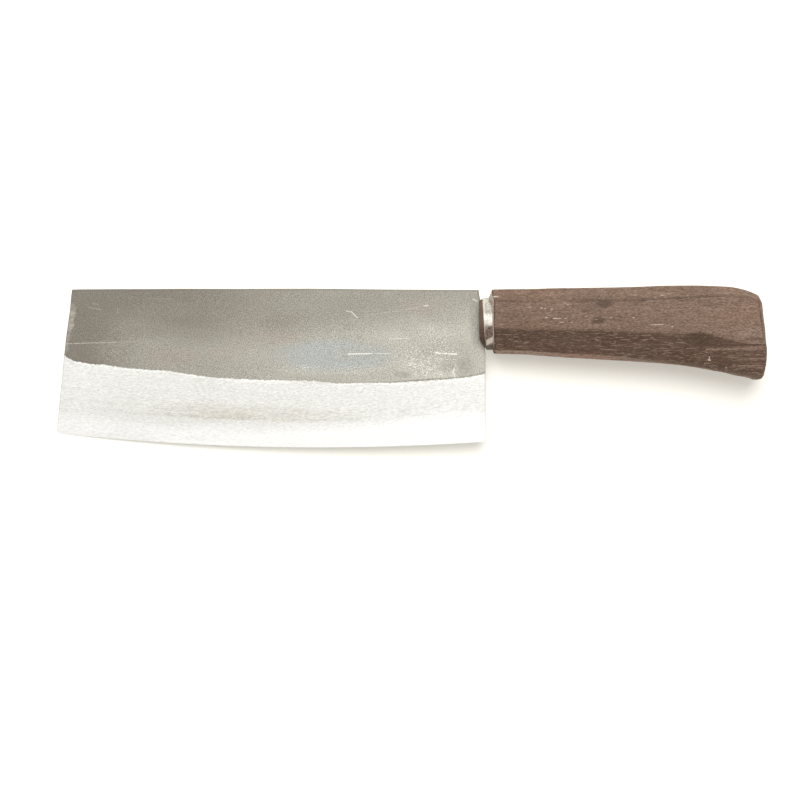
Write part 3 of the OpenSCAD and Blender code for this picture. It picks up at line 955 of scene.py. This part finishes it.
    # bevel: bright satin grind with fine lengthwise brush marks
    flow = n.m("ADD", y, n.m("MULTIPLY", n.m("POWER", n.m("ADD", x, 79.0), 2.0), -0.00044))
    gv = n.comb(x, flow, z)
    streak = n.noise(n.scale(gv, (0.30, 2.1, 1.0)), 1.0, 3.0, 0.65)
    streak2 = n.noise(n.scale(gv, (0.05, 0.55, 1.0)), 1.0, 3.0, 0.6)
    slant = n.comb(n.m("ADD", x, n.m("MULTIPLY", flow, 0.5)), n.m("SUBTRACT", flow, n.m("MULTIPLY", x, 0.16)), z)
    grainy = n.noise(n.scale(slant, (0.58, 2.1, 2.0)), 1.0, 2.0, 0.7)
    cutw = n.m("ADD", cut, around(n, n.noise(n.scale(gv, (0.05, 0.30, 1.0)), 1.0, 4.0, 0.7), 4.2))
    along = n.m("MULTIPLY", n.remap(x, -172.0, -125.0, 0.05, 1.0), n.remap(x, -45.0, -120.0, 0.03, 1.0))
    band = n.m("MULTIPLY", n.m("MULTIPLY", n.remap(cutw, 11.2, 13.2), n.remap(cutw, 21.0, 15.0)), along)
    seam = n.m("MULTIPLY", n.m("MULTIPLY", n.remap(n.m("ABSOLUTE", n.m("SUBTRACT", cutw, 12.9)), 0.55, 0.15), along), n.remap(grainy, 0.56, 0.44, 0.0, 1.0))
    wide = n.remap(x, -90.0, -12.0, 0.0, 4.2)
    honed = n.m("MULTIPLY", n.remap(n.m("SUBTRACT", cutw, wide), 12.5, 4.0), n.remap(x, -200.0, -70.0, 0.45, 1.0))
    tone_b = n.m("ADD", BEVEL_MID, n.m("ADD", around(n, streak, 0.50), n.m("ADD", around(n, streak2, 0.22), around(n, grainy, 1.10))))
    tone_b = n.m("ADD", tone_b, n.m("ADD", n.m("MULTIPLY", band, -0.195), n.m("MULTIPLY", seam, -0.20)))
    tone_b = n.m("ADD", tone_b, n.m("MULTIPLY", honed, 0.42))
    tone_b = n.m("ADD", tone_b, n.m("ADD", n.remap(x, -192.0, -165.0, 0.11, 0.035), n.remap(x, -60.0, -15.0, 0.0, 0.045)))
    first = n.m("MULTIPLY", n.remap(gd, -1.6, -0.3, 0.0, 0.14), n.remap(rag2, 0.44, 0.60))
    tone_b = n.m("ADD", tone_b, first)
    bright_c = n.ramp(tone_b, [(0.0, (0.44, 0.428, 0.392)), (0.30, (0.603, 0.601, 0.572)), (0.60, (0.768, 0.785, 0.772)),
                               (0.85, (0.905, 0.925, 0.925)), (1.0, (0.97, 0.98, 0.985))])
    tint = n.m("MULTIPLY", band, n.remap(n.noise(n.scale(gv, (0.10, 0.35, 1.0)), 1.0, 3.0, 0.6), 0.40, 0.60, 0.2, 1.0))
    bright_c = n.mix(tint, bright_c, (1.0, 0.995, 0.945), "MULTIPLY")
    # the underside's grind is painted greyer so that it throws less light onto the table, which deepens the shadow
    # under the edge: painted shade
    bright_c = n.mix(n.m("MULTIPLY", lowface, 0.9), bright_c, (0.58, 0.575, 0.55), "MULTIPLY")
    bevel_rough = n.m("ADD", 0.44, around(n, streak, -0.12))
    bevel_metal = n.blend(honed, 0.90, 0.66)

    color = n.mix(cheek_f, bright_c, scale_c)
    # sheared and filed rim
    rim_f = n.m("MULTIPLY", n.remap(n.m("ABSOLUTE", face), 0.7, 0.1), n.remap(cut, 0.5, 2.0))
    rim_c = n.ramp(n.noise(n.scale(kf, (0.5, 0.5, 3.0)), 1.0, 4.0, 0.65), [(0.3, (0.11, 0.098, 0.080)), (0.7, (0.25, 0.23, 0.20))])
    color = n.mix(rim_f, color, rim_c)
    rough = n.blend(cheek_f, bevel_rough, cheek_rough)
    metal = n.blend(cheek_f, bevel_metal, n.m("ADD", 0.28, n.m("MULTIPLY", wear, 0.4)))
    n._in(n.bsdf, "Base Color", color)
    n._in(n.bsdf, "Roughness", rough)
    n._in(n.bsdf, "Metallic", metal)
    pits = n.noise(n.scale(kf, (1.1, 1.1, 1.1)), 1.0, 4.0, 0.65)
    h_cheek = n.m("ADD", pits, n.m("MULTIPLY", speck, 0.4))
    h_bevel = n.m("ADD", n.m("MULTIPLY", streak, 0.55), n.m("MULTIPLY", grainy, 0.5))
    height = n.blend(cheek_f, h_bevel, n.m("ADD", h_cheek, 0.25))
    n._in(n.bsdf, "Normal", n.bump(height, 0.28, 0.00006))
    return n.mat


# ---- brown hardwood ---------------------------------------------------------
def wood():
    n = Nodes("handle_hardwood")
    kf = n.kf()
    x, y, z = n.sep(kf)
    kind, part = n.val("kind"), n.val("part")
    # small knots bend the grain round them
    bend = None
    knots = []
    for (kx, ky, kz, r, amt) in ((55.0, 9.2, 13.0, 3.7, 2.4), (52.6, 1.6, 13.0, 3.7, -1.8), (96.0, -3.0, -13.0, 4.4, 2.0)):
        d = n.vm("LENGTH", n.scale(n.vm("SUBTRACT", kf, (kx, ky, kz)), (0.60, 1.15, 0.45)))
        push = n.m("MULTIPLY", n.remap(d, r * 1.6, 0.0, 0.0, 1.0), amt)
        bend = push if bend is None else n.m("ADD", bend, push)
        blur = n.noise(n.scale(kf, (0.55, 1.3, 0.8)), 1.0, 3.0, 0.7)
        knots.append(n.remap(n.m("ADD", d, around(n, blur, 5.0)), r * 0.72, r * 0.25, 0.0, 1.0))
    yy = n.m("ADD", y, bend)
    sway = n.noise(n.scale(kf, (0.022, 0.06, 0.06)), 1.0, 2.0, 0.5)
    yy = n.m("ADD", yy, around(n, sway, 5.0))
    zz = n.m("ADD", z, around(n, sway, 3.0))
    gv = n.comb(x, yy, zz)

    broad = n.noise(n.scale(gv, (0.014, 0.15, 0.12)), 1.0, 3.0, 0.55)
    medium = n.noise(n.scale(gv, (0.09, 0.9, 0.7)), 1.0, 3.0, 0.6)
    fibre = n.noise(n.scale(gv, (0.80, 2.5, 2.3)), 1.0, 2.0, 0.65)
    mottle = n.noise(n.scale(gv, (0.20, 0.40, 0.35)), 1.0, 3.0, 0.6)
    tone = n.m("ADD", around(n, broad, 0.34), around(n, medium, 0.46))
    tone = n.m("ADD", tone, n.m("ADD", around(n, fibre, 1.45), around(n, mottle, 0.30)))
    tone = n.m("ADD", 0.5, tone)

    # painted shade: the lower facets, turned from the lamp, are painted darker than the flats, most of all in a patch
    # in front of the butt and at the butt's lower corner
    shape = n.m("ADD", part, n.m("ADD", around(n, mottle, 0.5), around(n, medium, 0.55)))
    lower = n.m("MULTIPLY", n.remap(shape, 1.92, 2.42), n.remap(part, n.remap(x, 60.0, 95.0, 3.55, 3.95), n.remap(x, 60.0, 95.0, 3.15, 3.65)))
    shade = n.m("MULTIPLY", lower, n.remap(x, 124.0, 106.0, 0.43, 1.0))
    shade_blob = n.m("MULTIPLY", oval(n, x, n.m("ADD", y, around(n, medium, 3.0)), 99.0, -7.2, 8.0, 4.4), 1.05)
    shade_blob = n.m("MULTIPLY", shade_blob, n.remap(z, 2.0, 5.0))
    shade = n.m("ADD", n.m("MAXIMUM", shade, shade_blob), n.m("MULTIPLY", shade_blob, 0.35))
    shade = n.m("ADD", shade, n.m("MULTIPLY", oval(n, x, y, 118.0, -7.0, 13.0, 4.2, 0.2), 0.27))
    tone = n.m("SUBTRACT", tone, n.m("MULTIPLY", shade, WOOD_SHADE))
    # darker wood round the knots, in front of them and at the butt's corner
    wavy = n.m("ADD", y, around(n, medium, 3.0))
    up_side = n.remap(z, 1.0, 3.0)
    for cx, cy, rx, ry, amt in ((49.0, 9.6, 12.0, 5.0, 0.135), (68.0, 10.4, 9.0, 2.8, 0.065),
                                (14.0, 11.4, 10.0, 2.0, 0.07), (124.5, -7.4, 7.0, 1.9, 0.12)):
        stain = n.m("MULTIPLY", oval(n, x, wavy, cx, cy, rx, ry), amt)
        tone = n.m("SUBTRACT", tone, n.m("MULTIPLY", stain, up_side))
    # grime along the upper edge lines
    edge_l = n.remap(n.m("ABSOLUTE", n.m("SUBTRACT", part, n.m("ADD", 1.02, around(n, mottle, 0.25)))), 0.22, 0.04)
    edge_l = n.m("MULTIPLY", edge_l, n.remap(n.noise(n.scale(kf, (0.035, 0.05, 0.05)), 1.0, 2.0, 0.6), 0.40, 0.56, 0.15, 1.0))
    tone = n.m("SUBTRACT", tone, n.m("MULTIPLY", edge_l, 0.20))
    tone = n.m("ADD", tone, n.m("MULTIPLY", n.m("MULTIPLY", n.remap(part, 3.6, 4.1), n.remap(kind, 2.0, 1.0)), 0.06))
    # the upper bevels are a touch greyer and darker than the flats; the belly strip is painted paler, most in front,
    # as painted light bounced up from the table
    tone = n.m("SUBTRACT", tone, n.m("MULTIPLY", n.m("MULTIPLY", n.remap(part, 1.05, 0.85), n.remap(x, 90.0, 10.0, 0.2, 1.0)), 0.055))
    flat = n.m("MULTIPLY", n.remap(part, 1.0, 1.25), n.remap(part, 2.4, 2.1))
    tone = n.m("ADD", tone, n.m("MULTIPLY", flat, n.remap(x, 60.0, 118.0, 0.025, 0.10)))
    under = n.m("MULTIPLY", n.m("MULTIPLY", n.remap(part, 3.05, 3.4), n.remap(part, 4.35, 4.0, 0.15, 1.0)), n.m("ADD", n.remap(x, 118.0, 30.0, 0.08, 0.36), n.remap(x, 34.0, 8.0, 0.0, 0.58)))
    tone = n.m("ADD", tone, under)
    base = n.ramp(tone, [(t, tuple(k * WOOD_K for k in c)) for t, c in (
        (0.05, (0.050, 0.031, 0.021)), (0.25, (0.082, 0.052, 0.036)), (0.42, (0.112, 0.073, 0.052)),
        (0.55, (0.138, 0.092, 0.067)), (0.72, (0.178, 0.124, 0.094)), (0.95, (0.250, 0.187, 0.148)))])
    # warm drift
    drift = n.remap(n.noise(n.scale(gv, (0.03, 0.10, 0.10)), 1.0, 2.0, 0.5), 0.42, 0.62, 0.0, 0.6)
    base = n.mix(drift, base, (1.04, 0.965, 0.93), "MULTIPLY")
    ruddy = n.m("MULTIPLY", n.m("MULTIPLY", n.remap(part, 3.05, 3.4), n.remap(part, 4.6, 4.3)), oval(n, x, y, 47.0, -16.0, 14.0, 6.0, 0.3))
    base = n.mix(n.m("MULTIPLY", ruddy, 0.8), base, (1.06, 0.93, 0.92), "MULTIPLY")
    for dk in knots:
        base = n.mix(n.m("MULTIPLY", dk, 0.95), base, tuple(k * WOOD_K for k in (0.060, 0.038, 0.027)))

    # open pores: short dashes along the grain, dark where open, pale where dust fills them
    pore_a = n.noise(n.scale(gv, (0.50, 2.4, 2.4)), 1.0, 1.0, 0.4)
    pore_dark = n.remap(pore_a, 0.60, 0.67, 0.0, 0.74)
    base = n.mix(pore_dark, base, tuple(k * WOOD_K for k in (0.066, 0.042, 0.029)))
    pore_b = n.noise(n.vm("ADD", n.scale(gv, (0.24, 2.3, 2.3)), (17.0, 9.0, 4.0)), 1.0, 2.0, 0.5)
    pore_pale = n.remap(pore_b, 0.575, 0.635, 0.0, 1.0)
    calm = oval(n, x, y, 99.0, -7.2, 9.0, 5.0, 0.3)
    pale_amt = n.m("MULTIPLY", n.m("MULTIPLY", pore_pale, n.blend(lower, 0.22, 0.74)), n.m("SUBTRACT", 1.0, n.m("MULTIPLY", calm, 0.8)))
    base = n.mix(pale_amt, base, tuple(k * WOOD_K for k in (0.205, 0.150, 0.118)))
    # a few pale flecks of filler in deeper pores
    fl = n.noise(n.vm("ADD", n.scale(gv, (0.40, 1.9, 1.9)), (3.0, 21.0, 8.0)), 1.0, 0.0, 0.0)
    fleck = n.remap(fl, 0.845, 0.885, 0.0, 0.8)
    marks = [
        ((20.6, 7.65), (21.3, 7.6), 0.14), ((25.6, 7.25), (26.8, 7.15), 0.16),
        ((27.6, 6.95), (28.1, 6.9), 0.14), ((30.4, 6.75), (31.2, 6.65), 0.17),
        ((37.9, 8.9), (38.5, 8.85), 0.12), ((28.0, 2.8), (28.9, 2.75), 0.18),
        ((31.6, 2.5), (35.2, 2.35), 0.20), ((36.8, 2.3), (37.8, 2.3), 0.14),
        ((34.8, 0.6), (36.2, 0.55), 0.14), ((39.2, 0.6), (40.2, 0.6), 0.14),
        ((57.8, 2.8), (58.2, 2.8), 0.16), ((68.0, 2.75), (68.8, 2.75), 0.16),
        ((76.2, -0.6), (82.0, -0.3), 0.16), ((86.0, -1.4), (86.4, -1.4), 0.2),
        ((3.7, 12.45), (6.2, 12.5), 0.24),
    ]
    marks = n.m("MULTIPLY", strokes(n, x, y, marks), n.remap(z, 6.0, 9.0))
    nick = n.m("MULTIPLY", total(n, [n.stroke(x, y, (103.2, -15.3), (103.2, -16.6), 0.20), n.stroke(x, y, (102.9, -16.8), (103.7, -16.9), 0.34)]), n.remap(z, 1.0, 3.0))
    white = n.m("MAXIMUM", fleck, n.m("MULTIPLY", marks, n.remap(fibre, 0.38, 0.52, 0.4, 1.0)))
    white = n.m("MAXIMUM", white, nick)
    base = n.mix(n.m("MULTIPLY", white, 0.75), base, tuple(k * WOOD_K for k in (0.47, 0.405, 0.345)))

    # rasp ridges on the lower corner of the butt, and two long open pores in front
    ridge = strokes(n, x, y, [((98.0, -10.2), (128.8, -9.8), 0.42), ((111.0, -13.6), (129.2, -12.9), 0.42),
                              ((108.0, -18.1), (129.0, -17.6), 0.36), ((117.0, -21.6), (127.0, -22.2), 0.38),
                              ((120.0, -15.4), (129.0, -15.0), 0.22), ((118.0, -7.6), (129.0, -7.2), 0.22)], 0.6)
    ridge = n.m("MULTIPLY", ridge, n.m("MULTIPLY", n.remap(fibre, 0.60, 0.44, 0.45, 0.95), n.remap(z, 1.0, 3.0)))
    base = n.mix(ridge, base, tuple(k * WOOD_K for k in (0.064, 0.036, 0.026)))
    crest = strokes(n, x, y, [((102.0, -12.0), (126.0, -11.4), 0.55), ((114.0, -19.6), (127.5, -19.3), 0.24),
                              ((116.0, -16.4), (128.0, -16.2), 0.22), ((5.0, -4.9), (15.0, -4.95), 0.14)], 0.6)
    crest = n.m("MULTIPLY", crest, n.m("MULTIPLY", n.remap(fibre, 0.43, 0.55, 0.2, 0.8), n.remap(z, 1.0, 3.0)))
    base = n.mix(crest, base, tuple(k * WOOD_K for k in (0.220, 0.152, 0.118)))
    split = n.m("MULTIPLY", n.stroke(x, y, (5.2, 0.9), (15.5, 0.9), 0.16, 0.5), n.remap(fibre, 0.56, 0.46, 0.1, 0.6))
    base = n.mix(n.m("MULTIPLY", split, n.remap(z, 6.0, 9.0)), base, tuple(k * WOOD_K for k in (0.060, 0.038, 0.027)))

    # freshly cut bevel at the front: pale and pinkish
    lip = n.remap(n.m("ABSOLUTE", n.m("SUBTRACT", kind, 1.0)), 0.40, 0.15)
    lip_c = n.ramp(n.noise(n.scale(kf, (1.2, 1.2, 1.2)), 1.0, 3.0, 0.6), [(0.3, (0.40, 0.30, 0.235)), (0.7, (0.60, 0.50, 0.42))])
    lip_c = n.mix(n.m("MULTIPLY", n.remap(y, 9.5, 11.5), n.remap(mottle, 0.35, 0.6, 0.65, 1.0)), lip_c, (0.54, 0.51, 0.435))
    lip_c = n.mix(n.remap(y, -8.5, -11.5), lip_c, (0.14, 0.095, 0.07))
    base = n.mix(n.m("MULTIPLY", lip, 0.9), base, lip_c)
    # painted shadow in the shallow groove behind the front bevel
    groove = n.remap(n.m("ABSOLUTE", n.m("SUBTRACT", kind, 0.5)), 0.36, 0.15)
    base = n.mix(n.m("MULTIPLY", groove, n.remap(n.noise(n.scale(kf, (0.3, 0.8, 0.8)), 1.0, 3.0, 0.7), 0.42, 0.58, 0.95, 0.25)), base, (0.062, 0.042, 0.031))
    rear = n.m("MULTIPLY", n.stroke(x, y, (125.3, 11.6), (127.7, -6.0), 0.34, 0.6), n.remap(fibre, 0.62, 0.46, 0.2, 0.8))
    base = n.mix(n.m("MULTIPLY", rear, n.remap(kind, 0.3, 0.1)), base, (0.085, 0.056, 0.041))
    # tenon: dark, soaked with resin
    ten = n.m("MULTIPLY", n.remap(kind, 1.4, 1.8), n.remap(kind, 3.6, 3.2))
    base = n.mix(n.m("MULTIPLY", ten, 0.65), base, (0.085, 0.052, 0.038))
    # end grain at the butt
    endg = n.remap(kind, 3.4, 3.8)
    rings2 = n.noise(n.comb(0.0, n.m("MULTIPLY", yy, 0.9), n.m("MULTIPLY", zz, 0.22)), 1.0, 3.0, 0.6)
    dots = n.voro(n.comb(0.0, n.m("MULTIPLY", y, 1.5), n.m("MULTIPLY", z, 1.5)), 1.0)
    end_c = n.ramp(rings2, [(0.3, (0.070, 0.045, 0.032)), (0.7, (0.140, 0.096, 0.070))])
    end_c = n.mix(n.remap(dots, 0.22, 0.10, 0.0, 0.6), end_c, (0.038, 0.025, 0.018))
    base = n.mix(n.m("MULTIPLY", endg, 0.85), base, end_c)
    n._in(n.bsdf, "Base Color", base)
    rough = n.m("ADD", 0.62, around(n, fibre, 0.25))
    n._in(n.bsdf, "Roughness", n.m("ADD", rough, n.m("MULTIPLY", pore_dark, 0.15)))
    h = n.m("ADD", n.m("MULTIPLY", fibre, 0.6), n.m("MULTIPLY", n.m("ADD", pore_dark, pale_amt), -0.9))
    h = n.m("ADD", h, n.m("MULTIPLY", medium, 0.5))
    n._in(n.bsdf, "Normal", n.bump(h, 0.55, 0.00012))
    n.bsdf.inputs["Specular IOR Level"].default_value = 0.30
    return n.mat


def ferrule_metal():
    n = Nodes("ferrule_metal")
    kf = n.kf()
    x, y, z = n.sep(kf)
    ang = n.m("ARCTAN2", z, y)
    cv = n.comb(n.m("MULTIPLY", x, 3.2), n.m("MULTIPLY", n.m("COSINE", ang), 2.6), n.m("MULTIPLY", n.m("SINE", ang), 2.6))
    turned = n.noise(cv, 1.0, 3.0, 0.6)
    smear = n.noise(n.scale(kf, (0.5, 0.45, 0.45)), 1.0, 4.0, 0.65)
    grit = n.noise(n.scale(kf, (2.2, 1.6, 1.6)), 1.0, 3.0, 0.7)
    col = n.ramp(n.m("ADD", n.m("MULTIPLY", grit, 0.6), n.m("MULTIPLY", smear, 0.4)), [
        (0.36, (0.245, 0.228, 0.19)), (0.47, (0.455, 0.44, 0.395)), (0.58, (0.66, 0.65, 0.615))])
    # painted shade on both sides of the lamp's bright streak narrows it
    streak_y = n.m("ABSOLUTE", n.m("SUBTRACT", n.m("ADD", y, around(n, grit, 3.0)), 2.0))
    col = n.mix(n.m("MULTIPLY", n.remap(streak_y, 1.9, 3.7, 0.0, 0.62), n.remap(y, 7.0, 4.6)), col, (0.17, 0.150, 0.125))
    # the lower side is mottled brown, partly tarnish and partly a painted reflection of the dark room on that side,
    # crossed by one pale band that is a painted reflection of the bright table at the horizon
    stain = n.noise(n.scale(kf, (1.9, 1.2, 1.2)), 1.0, 3.0, 0.75)
    slope = n.m("ADD", y, n.m("MULTIPLY", n.m("SUBTRACT", x, 2.0), -0.55))
    dull_and_dark_reflection = n.remap(n.m("ADD", slope, around(n, stain, 2.4)), -0.6, -2.2)
    brown = n.ramp(stain, [(0.38, (0.062, 0.039, 0.027)), (0.5, (0.150, 0.100, 0.072)), (0.62, (0.33, 0.255, 0.20))])
    col = n.mix(n.m("MULTIPLY", dull_and_dark_reflection, 0.94), col, brown)
    across = n.m("SUBTRACT", n.m("ADD", y, 8.3), n.m("MULTIPLY", n.m("SUBTRACT", x, 1.9), 0.55))
    patch = n.remap(n.m("ABSOLUTE", n.m("ADD", across, around(n, stain, 2.2))), 1.9, 0.9)
    patch = n.m("MULTIPLY", patch, n.m("MULTIPLY", n.remap(x, 0.3, 1.0), n.remap(x, 4.3, 3.6)))
    col = n.mix(n.m("MULTIPLY", patch, 0.95), col, (0.78, 0.735, 0.63))
    # painted reflection of the table in the handle's shadow: dark brown along the bottom
    dark_reflected_foot = n.m("MULTIPLY", n.remap(n.m("ADD", y, around(n, stain, 1.6)), -9.6, -10.4), n.remap(grit, 0.58, 0.48, 0.35, 0.9))
    col = n.mix(dark_reflected_foot, col, (0.125, 0.088, 0.066))
    # a painted highlight: a thin bright line round the front lip
    col = n.mix(n.m("MULTIPLY", n.remap(x, 0.45, 0.05, 0.0, 0.6), n.remap(y, -6.0, -9.0, 1.0, 0.3)), col, (0.74, 0.66, 0.59))
    n._in(n.bsdf, "Base Color", col)
    n._in(n.bsdf, "Metallic", n.remap(n.m("MAXIMUM", dull_and_dark_reflection, dark_reflected_foot), 0.0, 1.0, 0.42, 0.12))
    n._in(n.bsdf, "Roughness", n.m("ADD", 0.41, n.m("ADD", n.m("MULTIPLY", smear, 0.10), n.m("MULTIPLY", dull_and_dark_reflection, 0.12))))
    n._in(n.bsdf, "Normal", n.bump(n.m("ADD", turned, n.m("ADD", smear, stain)), 0.45, 0.00010))
    return n.mat


def resin():
    n = Nodes("set_resin")
    tc = n.t.nodes.new("ShaderNodeTexCoord").outputs["Object"]
    a = n.noise(n.scale(tc, (900.0, 900.0, 900.0)), 1.0, 3.0, 0.6)
    n._in(n.bsdf, "Base Color", n.ramp(a, [(0.3, (0.030, 0.017, 0.011)), (0.7, (0.085, 0.050, 0.032))]))
    n._in(n.bsdf, "Roughness", n.m("ADD", 0.30, n.m("MULTIPLY", a, 0.25)))
    n._in(n.bsdf, "Normal", n.bump(a, 0.3, 0.0001))
    return n.mat


def paint(ob, mat):
    ob.data.materials.clear()
    ob.data.materials.append(mat)


paint(blade, steel())
paint(handle, wood())
paint(ferrule, ferrule_metal())
paint(frame["nodes"]["tang_resin"], resin())

for piece, node, slot in ((blade, "blade", "blade_steel"), (handle, "handle", "handle_wood"), (ferrule, "ferrule", "ferrule_metal")):
    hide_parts(node)
    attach(piece, "root")

# ---------------------------------------------------------------------------
# Studio: a white lit table, one large soft lamp above and behind the spine, and a tent that is
# paler on the lamp's side
# ---------------------------------------------------------------------------
me = bpy.data.meshes.new("studio_floor")
R = 14.0
ringn = 96
pts = [(0, 0, 0)] + [(R * math.cos(2 * math.pi * i / ringn), R * math.sin(2 * math.pi * i / ringn), 0) for i in range(ringn)]
me.from_pydata(pts, [], [(0, 1 + i, 1 + (i + 1) % ringn) for i in range(ringn)])
floor = bpy.data.objects.new("studio_floor", me)
bpy.context.scene.collection.objects.link(floor)
fm = Nodes("white_table")
tcn = fm.t.nodes.new("ShaderNodeTexCoord").outputs["Object"]
fm._in(fm.bsdf, "Base Color", fm.ramp(fm.noise(tcn, 3.0, 2.0, 0.5), [(0.3, (0.772, 0.77, 0.735)), (0.7, (0.792, 0.79, 0.755))]))
fm.bsdf.inputs["Roughness"].default_value = 0.8
fm.bsdf.inputs["Specular IOR Level"].default_value = 0.1
fm.bsdf.inputs["Emission Color"].default_value = (1.0, 0.99, 0.925, 1.0)
fm.bsdf.inputs["Emission Strength"].default_value = 0.42
paint(floor, fm.mat)

sun = bpy.data.lights.new("soft_lamp", "SUN")
sun.energy = 2.6
sun.angle = math.radians(40)
sun.color = (1.0, 0.99, 0.975)
so = bpy.data.objects.new("soft_lamp", sun)
so.rotation_euler = (math.radians(-23), 0, 0)
bpy.context.scene.collection.objects.link(so)

world = bpy.data.worlds.new("studio_air")
world.use_nodes = True
wt = world.node_tree
bg = wt.nodes["Background"]
sep = wt.nodes.new("ShaderNodeSeparateXYZ")
wt.links.new(wt.nodes.new("ShaderNodeTexCoord").outputs["Generated"], sep.inputs[0])
side = wt.nodes.new("ShaderNodeMapRange")
side.interpolation_type = "SMOOTHSTEP"
side.inputs["From Min"].default_value = -0.20
side.inputs["From Max"].default_value = 0.55
wt.links.new(sep.outputs["Y"], side.inputs["Value"])
tent = wt.nodes.new("ShaderNodeMix")
tent.data_type = "RGBA"
tent.inputs[6].default_value = (0.165, 0.125, 0.095, 1.0)
tent.inputs[7].default_value = (0.62, 0.61, 0.59, 1.0)
wt.links.new(side.outputs[0], tent.inputs[0])
low = wt.nodes.new("ShaderNodeMapRange")
low.interpolation_type = "SMOOTHSTEP"
low.inputs["From Min"].default_value = 0.30
low.inputs["From Max"].default_value = 0.08
wt.links.new(sep.outputs["Z"], low.inputs["Value"])
air = wt.nodes.new("ShaderNodeMix")
air.data_type = "RGBA"
air.inputs[7].default_value = (0.92, 0.92, 0.91, 1.0)
wt.links.new(low.outputs[0], air.inputs[0])
wt.links.new(tent.outputs[2], air.inputs[6])
wt.links.new(air.outputs[2], bg.inputs["Color"])
bg.inputs["Strength"].default_value = 1.0
bpy.context.scene.world = world

cam = bpy.data.cameras.new("photo_camera")
cam.lens = 124.6
cam.sensor_width = 36.0
cam.clip_start = 0.05
cam.clip_end = 60.0
co = bpy.data.objects.new("photo_camera", cam)
co.location = (float(SHIFT[0] - 39.65) / 1000, float(SHIFT[1] - 35.42) / 1000, 1.3)
co.rotation_euler = (0, 0, 0)
bpy.context.scene.collection.objects.link(co)
bpy.context.scene.camera = co

bpy.context.scene.view_settings.view_transform = "Standard"
bpy.context.scene.view_settings.look = "None"
bpy.context.scene.view_settings.exposure = 0.0
bpy.context.scene.view_settings.gamma = 1.0
